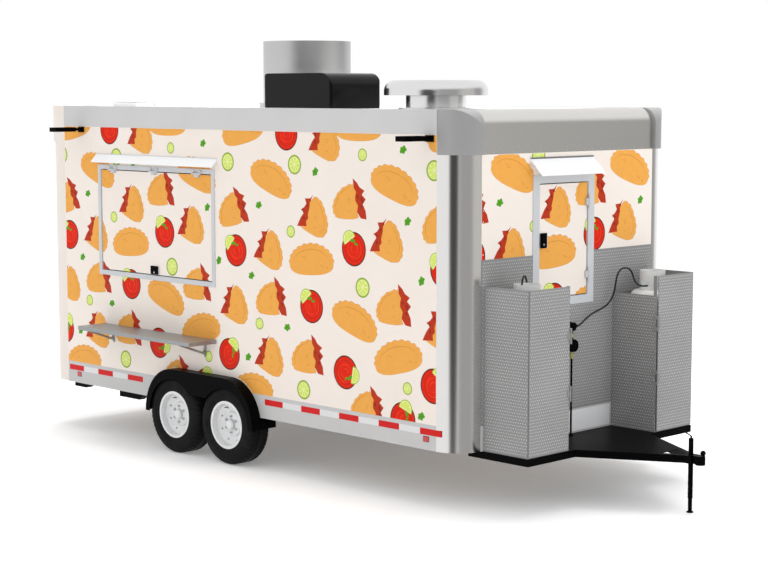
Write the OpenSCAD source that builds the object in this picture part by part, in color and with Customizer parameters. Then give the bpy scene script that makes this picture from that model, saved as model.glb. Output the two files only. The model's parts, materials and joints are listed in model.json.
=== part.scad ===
// Food concession trailer: a box body on two axles, with a serving hatch, a
// front hatch, a rear door, gas lockers on the tongue and fans on the roof.
// Millimetres. X runs forward to the coupler, Y to the left, Z up.
// The origin is the centre of the coupler's ball socket.

/* [Body] */
// Length of the box, front wall to rear wall
body_l = 5400; // [4700:10:6500]
// Width over the side walls
body_w = 2590; // [2400:1:3110]
// Height of the skirt's lower edge above the ground
skirt_z = 446; // [430:1:480]
// Height of the skirt below the walls
skirt_h = 200; // [170:1:240]
// Height of the side walls, skirt to top rail
wall_h = 2224; // [2150:1:2670]
// Height of the top rail
rail_h = 190; // [150:1:230]
// Thickness of walls, doors and posts
wall_t = 45; // [30:1:60]
// Thickness of the roof and of the floor
slab_t = 50; // [40:1:60]
// Radius of the upright corners
corner_r = 240; // [200:1:290]
// Height of the castings over the corner posts
cast_h = 340; // [280:1:350]
// How far the castings stand out past the posts, to front and rear
cast_lip = 30; // [10:1:40]
// Radius that rolls the header and the castings over to the roof
cap_round = 130; // [100:1:200]
// Flat part of each rear post beside the side wall
rear_band = 70; // [0:1:120]

/* [Serving hatch in the right wall] */
// Width of the opening
hatch_w = 1598; // [1300:1:1920]
// Height of the opening
hatch_h = 932; // [780:1:1100]
// Height of the opening's lower edge above the ground
hatch_z = 1554; // [1400:1:1620]
// Distance of the opening's middle from the front wall
hatch_mid = 3716; // [3500:1:3900]
// Width of the frame around the opening
hatch_ring = 42; // [30:1:50]

/* [Front hatch] */
// Width of the opening
front_w = 600; // [500:1:700]
// Height of the opening
front_h = 913; // [760:1:1000]
// Height of the opening's lower edge above the ground
front_z = 1566; // [1500:1:1650]
// Sideways place of the opening's middle
front_mid = -90; // [-120:1:-40]
// Width of the frame beside the opening
front_ring = 76; // [50:1:80]
// Width of the frame above and below the opening
front_ring_z = 66; // [35:1:80]

/* [Rear door] */
// Width of the opening
rear_w = 860; // [700:1:1000]
// Height of the opening
rear_h = 1930; // [1650:1:2050]
// Sideways place of the opening's middle
rear_mid = 250; // [0:1:350]
// Width of the frame around the opening
rear_ring = 45; // [35:1:55]

/* [Hatches and hinges] */
// Gap around each door panel
door_gap = 9; // [8:0.5:12]
// How far frames stand out from the wall
ring_out = 8; // [5:0.5:10]
// Radius of a hinge pin
pin_r = 5; // [4:0.5:6]
// Running gap between a pin and its knuckle
pin_gap = 0.3; // [0.2:0.05:0.4]
// Radius of a hinge knuckle
knuckle_r = 9; // [8:0.5:12]
// Length of one hinge
hinge_l = 120; // [100:1:160]

/* [Wheels] */
// Radius of a tyre
tyre_r = 345; // [330:1:350]
// Width of a tyre
tyre_w = 220; // [190:1:230]
// Bead seat radius of a rim
rim_r = 190.5; // [180:0.5:200]
// Width of a rim
rim_w = 190; // [150:1:200]
// Distance between the two axles
axle_gap = 718; // [705:1:865]
// Distance of the front axle from the front wall
axle_front = 2662; // [2500:1:2800]
// How far the tyres stand out past the side walls
tyre_out = 85; // [60:1:95]
// Radius of the wheel spindle
spindle_r = 25; // [20:0.5:30]
// Running gap around the spindle
spindle_gap = 0.3; // [0.2:0.05:0.4]
// Half length of a wheel arch, from its wheel centre
arch_a = 375; // [370:1:400]
// Height of a wheel arch over its wheel centre
arch_b = 409; // [395:1:430]
// How far the fenders stand out past the side walls
fender_out = 105; // [100:1:120]
// Sheet thickness of the fenders
fender_t = 5; // [4:0.5:8]

/* [Frame and tongue] */
// Distance of each chassis rail from the middle
rail_y = 970; // [900:1:1000]
// Width of the chassis rails and cross members
beam_w = 50; // [40:1:60]
// Number of cross members
cross_n = 9; // [6:1:12]
// Height of the tongue beams
tongue_h = 58; // [50:1:70]
// Length of the platform that carries the gas lockers
deck_l = 460; // [440:1:520]
// Half width of the platform
deck_y = 1030; // [1000:1:1040]
// Distance of the ball socket in front of the front wall
hitch_x = 1292; // [1200:1:1500]
// Radius of the ball socket
socket_r = 26; // [25:0.5:30]
// Height of the jack post's top above the ground
jack_top = 573; // [540:1:620]
// Radius of the jack post
jack_r = 19; // [16:0.5:22]

/* [Gas lockers] */
// Height of a locker's front and side panels
locker_h = 1274; // [1220:1:1300]
// How much lower the inner panel is
locker_step = 162; // [120:1:200]
// Sideways place of a locker's inner panel
locker_y0 = 546; // [520:1:560]
// Sideways place of a locker's outer panel
locker_y1 = 1022; // [1000:1:1028]
// Sheet thickness of the lockers
locker_t = 6; // [3:0.5:8]
// Radius of a gas bottle
bottle_r = 182; // [150:1:185]
// Height of a gas bottle over its collar
bottle_h = 1285; // [1200:1:1300]

/* [Roof] */
// Radius of the exhaust stack
stack_r = 388; // [330:1:460]
// Height of the stack's rim above the roof
stack_h = 574; // [500:1:700]
// Length, width and height of the air conditioner
cooler_size = [838, 570, 285]; // [200:5:900]
// Radius of the round fan's cap
cap_r = 417; // [340:1:500]
// Radius of the round fan's neck
neck_r = 242; // [180:1:290]

/* [Shelf and light bars] */
// Width of the serving shelf
shelf_w = 1618; // [1400:1:1700]
// Depth of the serving shelf
shelf_d = 305; // [250:1:350]
// Height of the shelf's upper face above the ground
shelf_z = 1057; // [950:1:1150]
// Reach of a light bar from the wall
light_l = 320; // [260:1:400]

/* [Hidden] */
$fn = 96;

half_w = body_w / 2;
axle_z = tyre_r;
wall_z = skirt_z + skirt_h;
rail_z = wall_z + wall_h;
roof_z = rail_z + rail_h;
cast_z = roof_z - cast_h;
flat_y = half_w - corner_r;
flat_x0 = -(body_l - corner_r);
side_x0 = flat_x0 + rear_band;
frame_h = skirt_h - slab_t;
hitch_z = skirt_z - 26;
axle_x = [-axle_front, -axle_front - axle_gap];
tyre_y = half_w + tyre_out - tyre_w / 2;
well_y = tyre_y - tyre_w / 2 - 30;
fender_y = half_w + fender_out;
arch_gap = 0.3;
cut = 20;
hinge_out = ring_out + knuckle_r + 1;
spindle_end = tyre_y + 26;
cross_x = [for (i = [0:cross_n - 1])
    -wall_t - beam_w / 2 - i * (body_l - 2 * wall_t - beam_w) / (cross_n - 1)];
reg_y = -35;
reg_x = 53;
deck_t = 6;
guard_t = 3;
guard_h = 1275;
post_x = hitch_x - 88;
nose_x = post_x - 20;
nose_y = 57;
leg_back = -450;
leg_w = 58;
deck_end = post_x - 205;
crank_t = 7;
nose_back = 45;
nose_front = 42;
deck_inset = 20;
coupler_w = 76;
coupler_up = 4;
coupler_down = 8;
socket_up = 14;
hub_end = 54;
axle_r = 38;
brake_r = 130;
vent_circle = 148;
seat_w = 64;
fender_hole_r = tyre_r - 27;
valance_z = axle_z + 208;
leaf_w = 26;
leaf_gap = 6;
ear_gap = 4;
hinge_play = 2;
// Latch blocks: across, depth and height, and how far they stand out
latch_d = 15;
latch_out = 14;
side_latch = [75, 110];
front_latch = [79, 119];
rear_latch = [70, 160];
bottle_x = 3 + (deck_l - 13) / 2;
bottle_y = (locker_y0 + locker_y1) / 2;
valve_r = 10;
valve_in = 68;
valve_out = 78;
stack_at = [-2830, -260];
curb = 38;
roof_drop = 6;
fan_z = 270;
fan_h = 90;
shaft_r = 12;
cooler_at = [-2434, -1120];
round_fan_at = [-870, -650];
vent_at = [-4700, -700];
vent_s = 360;
vent_h = 36;

// The hoses' routes, from the bottle valve to the regulator, counted from
// the ground under the front wall
left_route = [[226, 715, 1612], [226, 690, 1612], [222, 664, 1613],
    [208, 643, 1618], [186, 632, 1630], [165, 630, 1652], [150, 629, 1682],
    [140, 624, 1715], [132, 610, 1742], [124, 588, 1757], [116, 560, 1762],
    [108, 532, 1757], [101, 508, 1741], [95, 492, 1713], [90, 483, 1680],
    [86, 478, 1640], [82, 474, 1600], [77, 466, 1560], [70, 450, 1520],
    [62, 423, 1484], [56, 385, 1457], [53, 330, 1438], [53, 265, 1422],
    [53, 200, 1402], [53, 140, 1374], [53, 90, 1346], [53, 50, 1328],
    [53, 25.3, 1328]];
right_route = [[226, -850, 1622.3], [226, -850, 1660], [224, -845, 1715],
    [216, -830, 1762], [203, -803, 1790], [187, -770, 1796],
    [170, -738, 1780], [152, -707, 1752], [137, -683, 1706],
    [122, -662, 1665], [104, -634, 1640], [90, -595, 1622], [78, -545, 1600],
    [68, -490, 1560], [60, -430, 1510], [56, -370, 1460], [54, -310, 1415],
    [53, -250, 1380], [53, -190, 1350], [53, -130, 1328], [53, -95.3, 1328]];
hose_r = 7.5;

// ---- helpers ----

// Moves a shape from the front wall's foot to the part's own origin
module place() {
    translate([-hitch_x, 0, -hitch_z]) children();
}

// The shape and its mirror image on the left side
module both_sides() {
    children();
    mirror([0, 1, 0]) children();
}

// A box from one corner to the opposite one
module block(a, b) {
    translate(a) cube(b - a);
}

// A shape drawn in X and Z, as thick as the span y0 to y1
module along_y(y0, y1) {
    translate([0, y1, 0]) rotate([90, 0, 0]) linear_extrude(y1 - y0) children();
}

// A shape drawn in Y and Z, as thick as the span x0 to x1
module along_x(x0, x1) {
    translate([x0, 0, 0]) rotate([90, 0, 90]) linear_extrude(x1 - x0) children();
}

// The body's outline from above, drawn in by an inset
module plan(inset) {
    r = corner_r - inset;
    translate([flat_x0, inset - half_w]) square([-corner_r - flat_x0, body_w - 2 * inset]);
    translate([inset - body_l, -flat_y]) square([body_l - 2 * inset, 2 * flat_y]);
    for (x = [flat_x0, -corner_r], y = [-flat_y, flat_y])
        translate([x, y]) circle(r);
}

// The quarter of a corner that faces outwards, at the front right
module front_corner() {
    translate([-corner_r, -flat_y, 0]) rotate([0, 0, -90]) children();
}

// A quarter ring about Z, from a profile of radius and height
module quarter() {
    rotate_extrude(angle = 90) children();
}

// Outline of the two joined wheel arches in X and Z, grown by a margin
module arch_shape(grow) {
    polygon(concat(
        [for (t = [0:7.5:90]) [axle_x[0] + (arch_a + grow) * cos(t),
            axle_z + (arch_b + grow) * sin(t)]],
        [for (t = [90:7.5:180]) [axle_x[1] + (arch_a + grow) * cos(t),
            axle_z + (arch_b + grow) * sin(t)]]));
}

// What the wheel arches take out of floor, skirts and walls, both sides
module wheel_wells() {
    both_sides() along_y(-half_w - cut, -well_y + arch_gap) arch_shape(arch_gap);
}

// A flat frame of width side_w and top_w around an opening, in X and Z
module ring(w, h, side_w, top_w) {
    difference() {
        translate([-w / 2 - side_w, -top_w]) square([w + 2 * side_w, h + 2 * top_w]);
        translate([-w / 2, 0]) square([w, h]);
    }
}

// Hinges lie along the local Z axis. The panel is on the -X side, its outer
// face at Y = hinge_out, and it swings towards -Y. The fixed half's ears are
// ear_w wide and reach in to the wall or frame behind them.
module hinge_fixed(places, ear_w = 24, reach = hinge_out - ring_out) {
    ear = (hinge_l - hinge_play) / 4;
    for (z = places) translate([0, 0, z]) {
        cylinder(r = pin_r, h = hinge_l, center = true);
        for (s = [-1, 1]) translate([0, 0, s * (hinge_l - ear) / 2]) {
            cylinder(r = knuckle_r, h = ear, center = true);
            translate([ear_gap, 0, -ear / 2]) cube([ear_w, reach, ear]);
        }
    }
}

module hinge_moving(places, depth = 1) {
    knuckle = (hinge_l - hinge_play) / 2 - hinge_play;
    for (z = places) translate([0, 0, z]) difference() {
        union() {
            cylinder(r = knuckle_r, h = knuckle, center = true);
            translate([-leaf_gap - leaf_w, 0, -knuckle / 2])
                cube([leaf_w, hinge_out + depth, knuckle]);
        }
        cylinder(r = pin_r + pin_gap, h = knuckle + 2, center = true);
    }
}

// A tube of eight sides swept along a route's points as one polyhedron
module swept_tube(route, r) {
    n = len(route);
    sides = 8;
    dirs = [for (i = [0:n - 1]) unit(route[min(i + 1, n - 1)] - route[max(i - 1, 0)])];
    rings = [for (i = [0:n - 1]) let (
            u = unit(cross(dirs[i], [1, 0, 0])), v = cross(dirs[i], u))
        for (k = [0:sides - 1]) let (a = 360 * k / sides)
            route[i] + r * (cos(a) * u + sin(a) * v)];
    walls = [for (i = [0:n - 2], k = [0:sides - 1]) let (j = (k + 1) % sides)
        [i * sides + k, i * sides + j, (i + 1) * sides + j, (i + 1) * sides + k]];
    ends = [[for (k = [sides - 1:-1:0]) k], [for (k = [0:sides - 1]) (n - 1) * sides + k]];
    polyhedron(points = rings, faces = concat(walls, ends), convexity = 6);
}

function unit(v) = v / norm(v);

// ---- frame, tongue and running gear ----

module chassis() {
    color("#26282a") place() difference() {
        union() {
            both_sides() block([-body_l + wall_t, -rail_y - beam_w / 2, skirt_z],
                [-wall_t, -rail_y + beam_w / 2, skirt_z + frame_h]);
            for (x = cross_x)
                block([x - beam_w / 2, -half_w + wall_t, skirt_z + beam_w],
                    [x + beam_w / 2, half_w - wall_t, skirt_z + frame_h]);
        }
        wheel_wells();
        // the round corners of the skirt stay clear
        difference() {
            block([-body_l, -half_w, skirt_z - cut], [0, half_w, wall_z]);
            translate([0, 0, skirt_z - cut]) linear_extrude(2 * skirt_h) plan(wall_t);
        }
    }
}

module floor() {
    color("#8a8378") place() difference() {
        translate([0, 0, wall_z - slab_t]) linear_extrude(slab_t) plan(wall_t);
        wheel_wells();
    }
}

// Half width of the tongue's A shape at a distance x from the front wall
function leg_y(x) = nose_y
    + (rail_y + beam_w / 2 - nose_y) * (nose_x - x) / (nose_x - leg_back);

// A tongue beam's outline from above, from the nose back under the chassis
module tongue_leg() {
    polygon([[nose_x, -leg_y(nose_x)], [leg_back, -leg_y(leg_back)],
        [leg_back, leg_w - leg_y(leg_back)], [nose_x, leg_w - leg_y(nose_x)]]);
}

module tongue_frame() {
    low = skirt_z - tongue_h;
    side_back = -150;
    bridge = [-40, 10];
    deck_front = leg_y(deck_l) - deck_inset;
    deck_nose = leg_y(deck_end) - deck_inset;
    color("#141415") place() difference() {
        union() {
            translate([0, 0, low]) linear_extrude(tongue_h) {
                tongue_leg();
                mirror([0, 1]) tongue_leg();
            }
            block([deck_l - beam_w, -deck_y, low], [deck_l, deck_y, skirt_z]);
            both_sides() block([side_back, -deck_y, low], [deck_l, -deck_y + beam_w, skirt_z]);
            block([bridge[0], -deck_y, low], [bridge[1], deck_y, skirt_z]);
            translate([0, 0, skirt_z - deck_t]) linear_extrude(deck_t) {
                translate([0, -deck_y]) square([deck_l, 2 * deck_y]);
                polygon([[deck_l - 1, -deck_front], [deck_end, -deck_nose],
                    [deck_end, deck_nose], [deck_l - 1, deck_front]]);
            }
            block([post_x - nose_back, -nose_y, low], [post_x + nose_front, nose_y, skirt_z]);
        }
        translate([post_x, 0, low - cut])
            cylinder(r = jack_r + spindle_gap, h = tongue_h + 2 * cut);
    }
}

module coupler() {
    low = skirt_z - tongue_h - coupler_down;
    top = skirt_z + coupler_up;
    knob_x = hitch_x + 24;
    knob_z = skirt_z + 27;
    color("#101011") place() difference() {
        union() {
            block([post_x + nose_front, -coupler_w / 2, skirt_z - tongue_h],
                [hitch_x, coupler_w / 2, top]);
            translate([hitch_x, 0, low]) cylinder(r = coupler_w / 2, h = top - low);
            translate([knob_x, 0, skirt_z]) cylinder(r = 8, h = 34);
            translate([knob_x, 0, knob_z]) sphere(r = 21);
        }
        translate([hitch_x, 0, low - 1]) cylinder(r = socket_r, h = hitch_z + socket_up - low + 1);
    }
}

// The jack: an outer post, the screw tube and foot under it, and a flat crank
module tongue_jack() {
    post_low = 110;
    foot_r = 27;
    foot_t = 8;
    head_r = 7;
    arm = [[5, 12], [5, 20], [-68, 50], [-122, 50], [-122, 43], [-70, 43]];
    color("#101011") place() translate([post_x, 0, 0]) {
        translate([0, 0, post_low]) cylinder(r = jack_r, h = jack_top - post_low);
        cylinder(r = jack_r - 3, h = post_low + 10);
        cylinder(r = foot_r, h = foot_t);
        translate([0, 0, jack_top - 5]) cylinder(r = head_r, h = 25);
        translate([0, 0, jack_top]) along_y(-crank_t / 2, crank_t / 2) polygon(arm);
    }
}

// One axle: beam tube, spindles, spring seats and brake backing plates
module axle(x) {
    plate_y = tyre_y - 68;
    plate_t = 6;
    seat_l = 70;
    seat_h = 30;
    translate([x, 0, axle_z]) {
        rotate([90, 0, 0]) cylinder(r = axle_r, h = 2 * (plate_y + 2), center = true);
        rotate([90, 0, 0]) cylinder(r = spindle_r, h = 2 * spindle_end, center = true);
        both_sides() {
            translate([0, -plate_y, 0]) rotate([90, 0, 0]) cylinder(r = brake_r, h = plate_t);
            translate([-seat_l / 2, -rail_y - seat_w / 2, axle_r - seat_h])
                cube([seat_l, seat_w, seat_h]);
        }
    }
}

module axles() {
    color("#202224") place() for (x = axle_x) axle(x);
}

// A leaf spring's side view: flat in the middle, rising to both ends
module spring_side(x) {
    half = axle_gap / 2 - 30;
    thick = 34;
    tip = 20;
    flat = 70;
    rise = 20;
    top = axle_z + axle_r + thick;
    steps = [for (i = [-10:10]) i / 10 * half];
    function lift(u) = rise * pow(max(0, abs(u) - flat) / (half - flat), 2);
    polygon(concat([for (u = steps) [x + u, top + lift(u)]],
        [for (i = [len(steps) - 1:-1:0])
            let (u = steps[i]) [x + u, top - (abs(u) < half ? thick : tip) + lift(u)]]));
}

module suspension() {
    mid = (axle_x[0] + axle_x[1]) / 2;
    half = axle_gap / 2;
    hanger_r = 30;
    hanger_z = skirt_z - hanger_r - 2;
    spring_w = 60;
    color("#1b1d1f") place() both_sides()
        along_y(-rail_y - spring_w / 2, -rail_y + spring_w / 2) {
            for (x = axle_x) spring_side(x);
            for (x = [axle_x[0] + half, mid, axle_x[1] - half]) {
                translate([x - hanger_r, hanger_z]) square([2 * hanger_r, skirt_z - hanger_z]);
                translate([x, hanger_z]) circle(hanger_r);
            }
        }
}

// Wheel parts turn about the local Z axis, which points outboard
module at_wheel(i, side) {
    translate([axle_x[i], side * tyre_y, axle_z]) rotate([90, 0, side < 0 ? 0 : 180])
        children();
}

// A tyre's section: the sidewalls bulge past the rim and round into the tread
module tyre() {
    bead = rim_w / 2 - 0.1;
    lip = rim_r + 18;
    h = tyre_w / 2;
    half = [[rim_r, bead], [lip, bead], [lip + 2, bead + 8], [lip + 30, h - 8],
        [tyre_r - 75, h], [tyre_r - 45, h - 2], [tyre_r - 20, h - 12],
        [tyre_r - 6, h - 26], [tyre_r, h - 42]];
    rotate_extrude($fn = 96) polygon(concat(half,
        [for (i = [len(half) - 1:-1:0]) [half[i][0], -half[i][1]]]));
}

// A wheel's section: rim, dished disc, hub cap and brake drum in one turned
// piece, bored for the spindle and pierced by a ring of vents
module wheel() {
    w = rim_w / 2;
    t = 6;
    flange_r = rim_r + 17;
    rim = [[rim_r - t, -w - t], [flange_r, -w - t], [flange_r, -w], [rim_r, -w],
        [rim_r, w], [flange_r, w], [flange_r, w + t], [rim_r - t, w + t]];
    disc = [[rim_r - 5, 46], [rim_r - 14, 45], [150, 30], [110, 17], [102, 32],
        [72, 41], [48, 43], [0, 43], [0, 34], [60, 32], [94, 24], [104, 5],
        [150, 17], [rim_r - 5, 32]];
    cap = [[0, 40], [44, 40], [44, 62], [34, 73], [0, 77]];
    drum = [[0, -hub_end], [138, -hub_end], [138, 4], [104, 12], [60, 33], [0, 35]];
    bore_l = 88;
    difference() {
        rotate_extrude() {
            polygon(rim);
            polygon(disc);
            polygon(cap);
            polygon(drum);
        }
        translate([0, 0, -hub_end - t]) cylinder(r = spindle_r + spindle_gap, h = bore_l);
        for (a = [22.5:45:359]) rotate([0, 0, a]) translate([vent_circle, 0, 10])
            cylinder(r = 9, h = 40, $fn = 32);
    }
}

module tyre_front_right() { color("#232323") place() at_wheel(0, -1) tyre(); }
module tyre_rear_right() { color("#232323") place() at_wheel(1, -1) tyre(); }
module tyre_front_left() { color("#232323") place() at_wheel(0, 1) tyre(); }
module tyre_rear_left() { color("#232323") place() at_wheel(1, 1) tyre(); }
module wheel_front_right() { color("#dcdedf") place() at_wheel(0, -1) wheel(); }
module wheel_rear_right() { color("#dcdedf") place() at_wheel(1, -1) wheel(); }
module wheel_front_left() { color("#dcdedf") place() at_wheel(0, 1) wheel(); }
module wheel_rear_left() { color("#dcdedf") place() at_wheel(1, 1) wheel(); }

// A fender: arch band, outer lip with a valance between the wheels, and the
// inner wall that closes the wheel well towards the room
module fenders() {
    color("#0d0d0e") place() both_sides() {
        along_y(-fender_y, -well_y) difference() {
            arch_shape(0);
            arch_shape(-fender_t);
        }
        along_y(-fender_y, -fender_y + fender_t) difference() {
            arch_shape(0);
            for (x = axle_x) translate([x, axle_z]) circle(fender_hole_r);
            translate([axle_x[1], 0]) square([axle_gap, valance_z]);
        }
        along_y(-well_y - fender_t, -well_y) intersection() {
            arch_shape(0);
            translate([axle_x[1] - arch_a, skirt_z]) square([axle_gap + 2 * arch_a, arch_b]);
        }
    }
}

// A folded stabiliser leg behind each rear skirt, between two feet that hang
// below the skirt and whose plates reach in under the chassis rail
module stabilisers() {
    near = side_x0 + 10;
    y = -half_w + 95;
    leg = 25;
    foot = 32;
    top = skirt_z + 42;
    feet = [[near, 240, 52], [near + 710, 360, 68]];
    color("#151516") place() both_sides() {
        block([near, y - leg, top - 40], [feet[1][0] + feet[1][1], y + leg, top]);
        for (f = feet) {
            along_y(y - foot, y + foot) polygon([[f[0], top], [f[0], skirt_z - f[2]],
                [f[0] + f[1] - 60, skirt_z - f[2]], [f[0] + f[1], skirt_z - 25],
                [f[0] + f[1], top]]);
            block([f[0], y - foot, skirt_z - 8], [f[0] + f[1], -rail_y, skirt_z]);
        }
    }
}

// ---- body shell ----

module skirts() {
    color("#cfd0d0") place() difference() {
        union() {
            both_sides() block([side_x0, -half_w, skirt_z], [-corner_r, -half_w + wall_t, wall_z]);
            block([-wall_t, -flat_y, skirt_z], [0, flat_y, wall_z]);
            block([-body_l, -flat_y, skirt_z], [-body_l + wall_t, flat_y, wall_z]);
        }
        wheel_wells();
    }
}

module right_wall() {
    color("#f4eae1") place() difference() {
        block([side_x0, -half_w, wall_z], [-corner_r, -half_w + wall_t, rail_z]);
        wheel_wells();
        translate([-hatch_mid - hatch_w / 2, -half_w - cut, hatch_z])
            cube([hatch_w, wall_t + 2 * cut, hatch_h]);
    }
}

module left_wall() {
    color("#f4eae1") place() difference() {
        block([side_x0, half_w - wall_t, wall_z], [-corner_r, half_w, rail_z]);
        wheel_wells();
    }
}

module front_wall() {
    color("#f4eae1") place() difference() {
        block([-wall_t, -flat_y, wall_z], [0, flat_y, cast_z]);
        translate([-wall_t - cut, front_mid - front_w / 2, front_z])
            cube([wall_t + 2 * cut, front_w, front_h]);
    }
}

module rear_wall() {
    color("#f4eae1") place() difference() {
        block([-body_l, -flat_y, wall_z], [-body_l + wall_t, flat_y, rail_z]);
        translate([-body_l - cut, rear_mid - rear_w / 2, wall_z - 1])
            cube([wall_t + 2 * cut, rear_w, rear_h + 1]);
    }
}

module post_profile(top) {
    translate([corner_r - wall_t, skirt_z]) square([wall_t, top - skirt_z]);
}

// A casting over the corner at the front right, its corner's axis at the
// origin: upright all round and rolled over to a flat top at the front, with
// a flat band beside the side wall
module casting(band) {
    inner = corner_r - wall_t;
    difference() {
        intersection() {
            translate([0, 0, cast_z]) linear_extrude(cast_h) intersection() {
                union() {
                    translate([cast_lip, 0]) circle(corner_r);
                    translate([-band, -corner_r]) square([band + cast_lip, corner_r]);
                }
                translate([-band, -corner_r]) square([band + cast_lip + corner_r, corner_r]);
            }
            along_y(-corner_r - 1, 1) rolled_over(corner_r + cast_lip, band, roof_z, cap_round);
        }
        intersection() {
            translate([0, 0, cast_z - 1]) linear_extrude(cast_h) {
                circle(inner);
                translate([-band - 1, -inner]) square([band + 1, inner + 1]);
            }
            along_y(-corner_r, cut) rolled_over(inner, band + 1, roof_z - wall_t, cap_round - wall_t);
        }
    }
}

// A side view from the casting's foot up to top, its front upper edge rounded
module rolled_over(front, back, top, round) {
    low = cast_z - 1;
    translate([-back, low]) square([front + back, top - round - low]);
    translate([-back, low]) square([front + back - round, top - low]);
    translate([front - round, top - round]) circle(round);
}

// The corner's axis at the front right, and the one at the rear right
module at_front_axis() {
    translate([-corner_r, -flat_y, 0]) children();
}

module at_rear_axis() {
    translate([flat_x0, -flat_y, 0]) mirror([1, 0, 0]) children();
}

module front_posts() {
    color("#b9bbbd") place() both_sides() front_corner() quarter() post_profile(cast_z);
}

module rear_posts() {
    color("#f1e8e0") place() both_sides() at_rear_axis() {
        rotate([0, 0, -90]) quarter() post_profile(cast_z + 1);
        block([-rear_band, -corner_r, skirt_z], [0, wall_t - corner_r, cast_z + 1]);
        casting(rear_band);
    }
}

module front_castings() {
    color("#a2a4a5") place() both_sides() at_front_axis() casting(0);
}

module top_rails() {
    lip = 4;
    color("#dcdcdd") place() {
        both_sides() block([side_x0, -half_w - lip, rail_z], [-corner_r, -half_w + wall_t, roof_z]);
        block([-body_l - lip, -flat_y, rail_z], [-body_l + wall_t, flat_y, roof_z]);
    }
}

// The front header: a flange on the wall that rolls over to the roof
module front_cap() {
    color("#c9cacb") place() along_y(-flat_y, flat_y) {
        translate([-wall_t, cast_z]) square([wall_t, cast_h - cap_round]);
        translate([-cap_round, roof_z - cap_round]) intersection() {
            difference() {
                circle(cap_round);
                circle(cap_round - wall_t);
            }
            square(cap_round + 1);
        }
        translate([-corner_r, roof_z - wall_t]) square([corner_r - cap_round, wall_t]);
    }
}

module roof() {
    z0 = roof_z - roof_drop - slab_t;
    color("#e4e5e6") place() {
        block([side_x0, -half_w + wall_t, z0], [-corner_r, half_w - wall_t, z0 + slab_t]);
        block([-body_l + wall_t, -flat_y, z0], [side_x0, flat_y, z0 + slab_t]);
    }
}

module stone_guard() {
    guard_top = wall_z + guard_h;
    color("#9a9c9c") place() along_x(0, guard_t) difference() {
        translate([-flat_y, wall_z]) square([2 * flat_y, guard_top - wall_z]);
        translate([front_mid - front_w / 2 - front_ring, front_z - front_ring_z])
            square([front_w + 2 * front_ring, front_h]);
    }
}

// ---- openings, hatches and doors ----

// The place of each door's hinge line, at the middle of its length
module at_side_hinge() {
    translate([-hatch_mid, -half_w - hinge_out, hatch_z + hatch_h]) rotate([0, -90, 0]) children();
}

module at_front_hinge() {
    translate([hinge_out, front_mid + front_w / 2, front_z + front_h / 2])
        rotate([0, 0, 90]) children();
}

module at_rear_hinge() {
    translate([-body_l - hinge_out, rear_mid - rear_w / 2, wall_z + rear_h / 2])
        rotate([0, 0, -90]) children();
}

side_hinges = [-hatch_w * 0.38, 0, hatch_w * 0.38];
front_hinges = [-front_h * 0.32, front_h * 0.32];
rear_hinges = [-rear_h * 0.38, 0, rear_h * 0.38];
locker_hinges = [-locker_h * 0.15, locker_h * 0.2];

module opening_frames() {
    color("#cdd0d3") place() {
        translate([-hatch_mid, 0, hatch_z]) along_y(-half_w - ring_out, -half_w)
            ring(hatch_w, hatch_h, hatch_ring, hatch_ring);
        at_side_hinge() hinge_fixed(side_hinges);
        translate([0, front_mid, front_z]) along_x(0, ring_out)
            ring(front_w, front_h, front_ring, front_ring_z);
        at_front_hinge() hinge_fixed(front_hinges);
        translate([0, rear_mid, wall_z]) along_x(-body_l - ring_out, -body_l)
            ring(rear_w, rear_h, rear_ring, rear_ring);
        at_rear_hinge() hinge_fixed(rear_hinges);
    }
}

module rain_hoods() {
    side_x0 = -hatch_mid - hatch_w / 2 - 70;
    side_x1 = -hatch_mid + hatch_w / 2 + 80;
    side_z = hatch_z + hatch_h + 128;
    front_y0 = front_mid - front_w / 2 - 112;
    front_y1 = front_mid + front_w / 2 + 64;
    head = front_z + front_h + 192;
    color("#eeeff1") place() {
        translate([side_x0, -half_w, side_z]) along_x(0, side_x1 - side_x0)
            polygon([[0, 6], [-10, 6], [-12, -4], [-66, -62], [-66, -67], [-8, -22], [0, -22]]);
        translate([0, front_y0, head]) along_y(0, front_y1 - front_y0)
            polygon([[0, 6], [10, 6], [14, -6], [127, -122], [127, -127], [10, -24], [0, -24]]);
    }
}

// A door panel: as thick as the wall, with a gap all round, hinged at +X
module panel(w, h, t) {
    translate([-w + door_gap, hinge_out, -h / 2 + door_gap])
        cube([w - 2 * door_gap, t, h - 2 * door_gap]);
}

// A latch block on a panel's outer face, from x and z
module latch(x, z, size) {
    translate([x, hinge_out - latch_out, z]) cube([size[0], latch_d, size[1]]);
}

module side_hatch() {
    color("#f4eae1") place() at_side_hinge() {
        panel(hatch_h, hatch_w, wall_t);
        hinge_moving(side_hinges);
        latch(-hatch_h + door_gap + 4, -side_latch[1] / 2, side_latch);
    }
}

module front_hatch() {
    color("#f4eae1") place() at_front_hinge() {
        panel(front_w, front_h, wall_t);
        hinge_moving(front_hinges);
        latch(-front_w + door_gap + 2, -51, front_latch);
    }
}

module rear_door() {
    color("#f4eae1") place() at_rear_hinge() {
        panel(rear_w, rear_h, wall_t);
        hinge_moving(rear_hinges);
        latch(-rear_w + 40, -40, rear_latch);
    }
}

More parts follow.
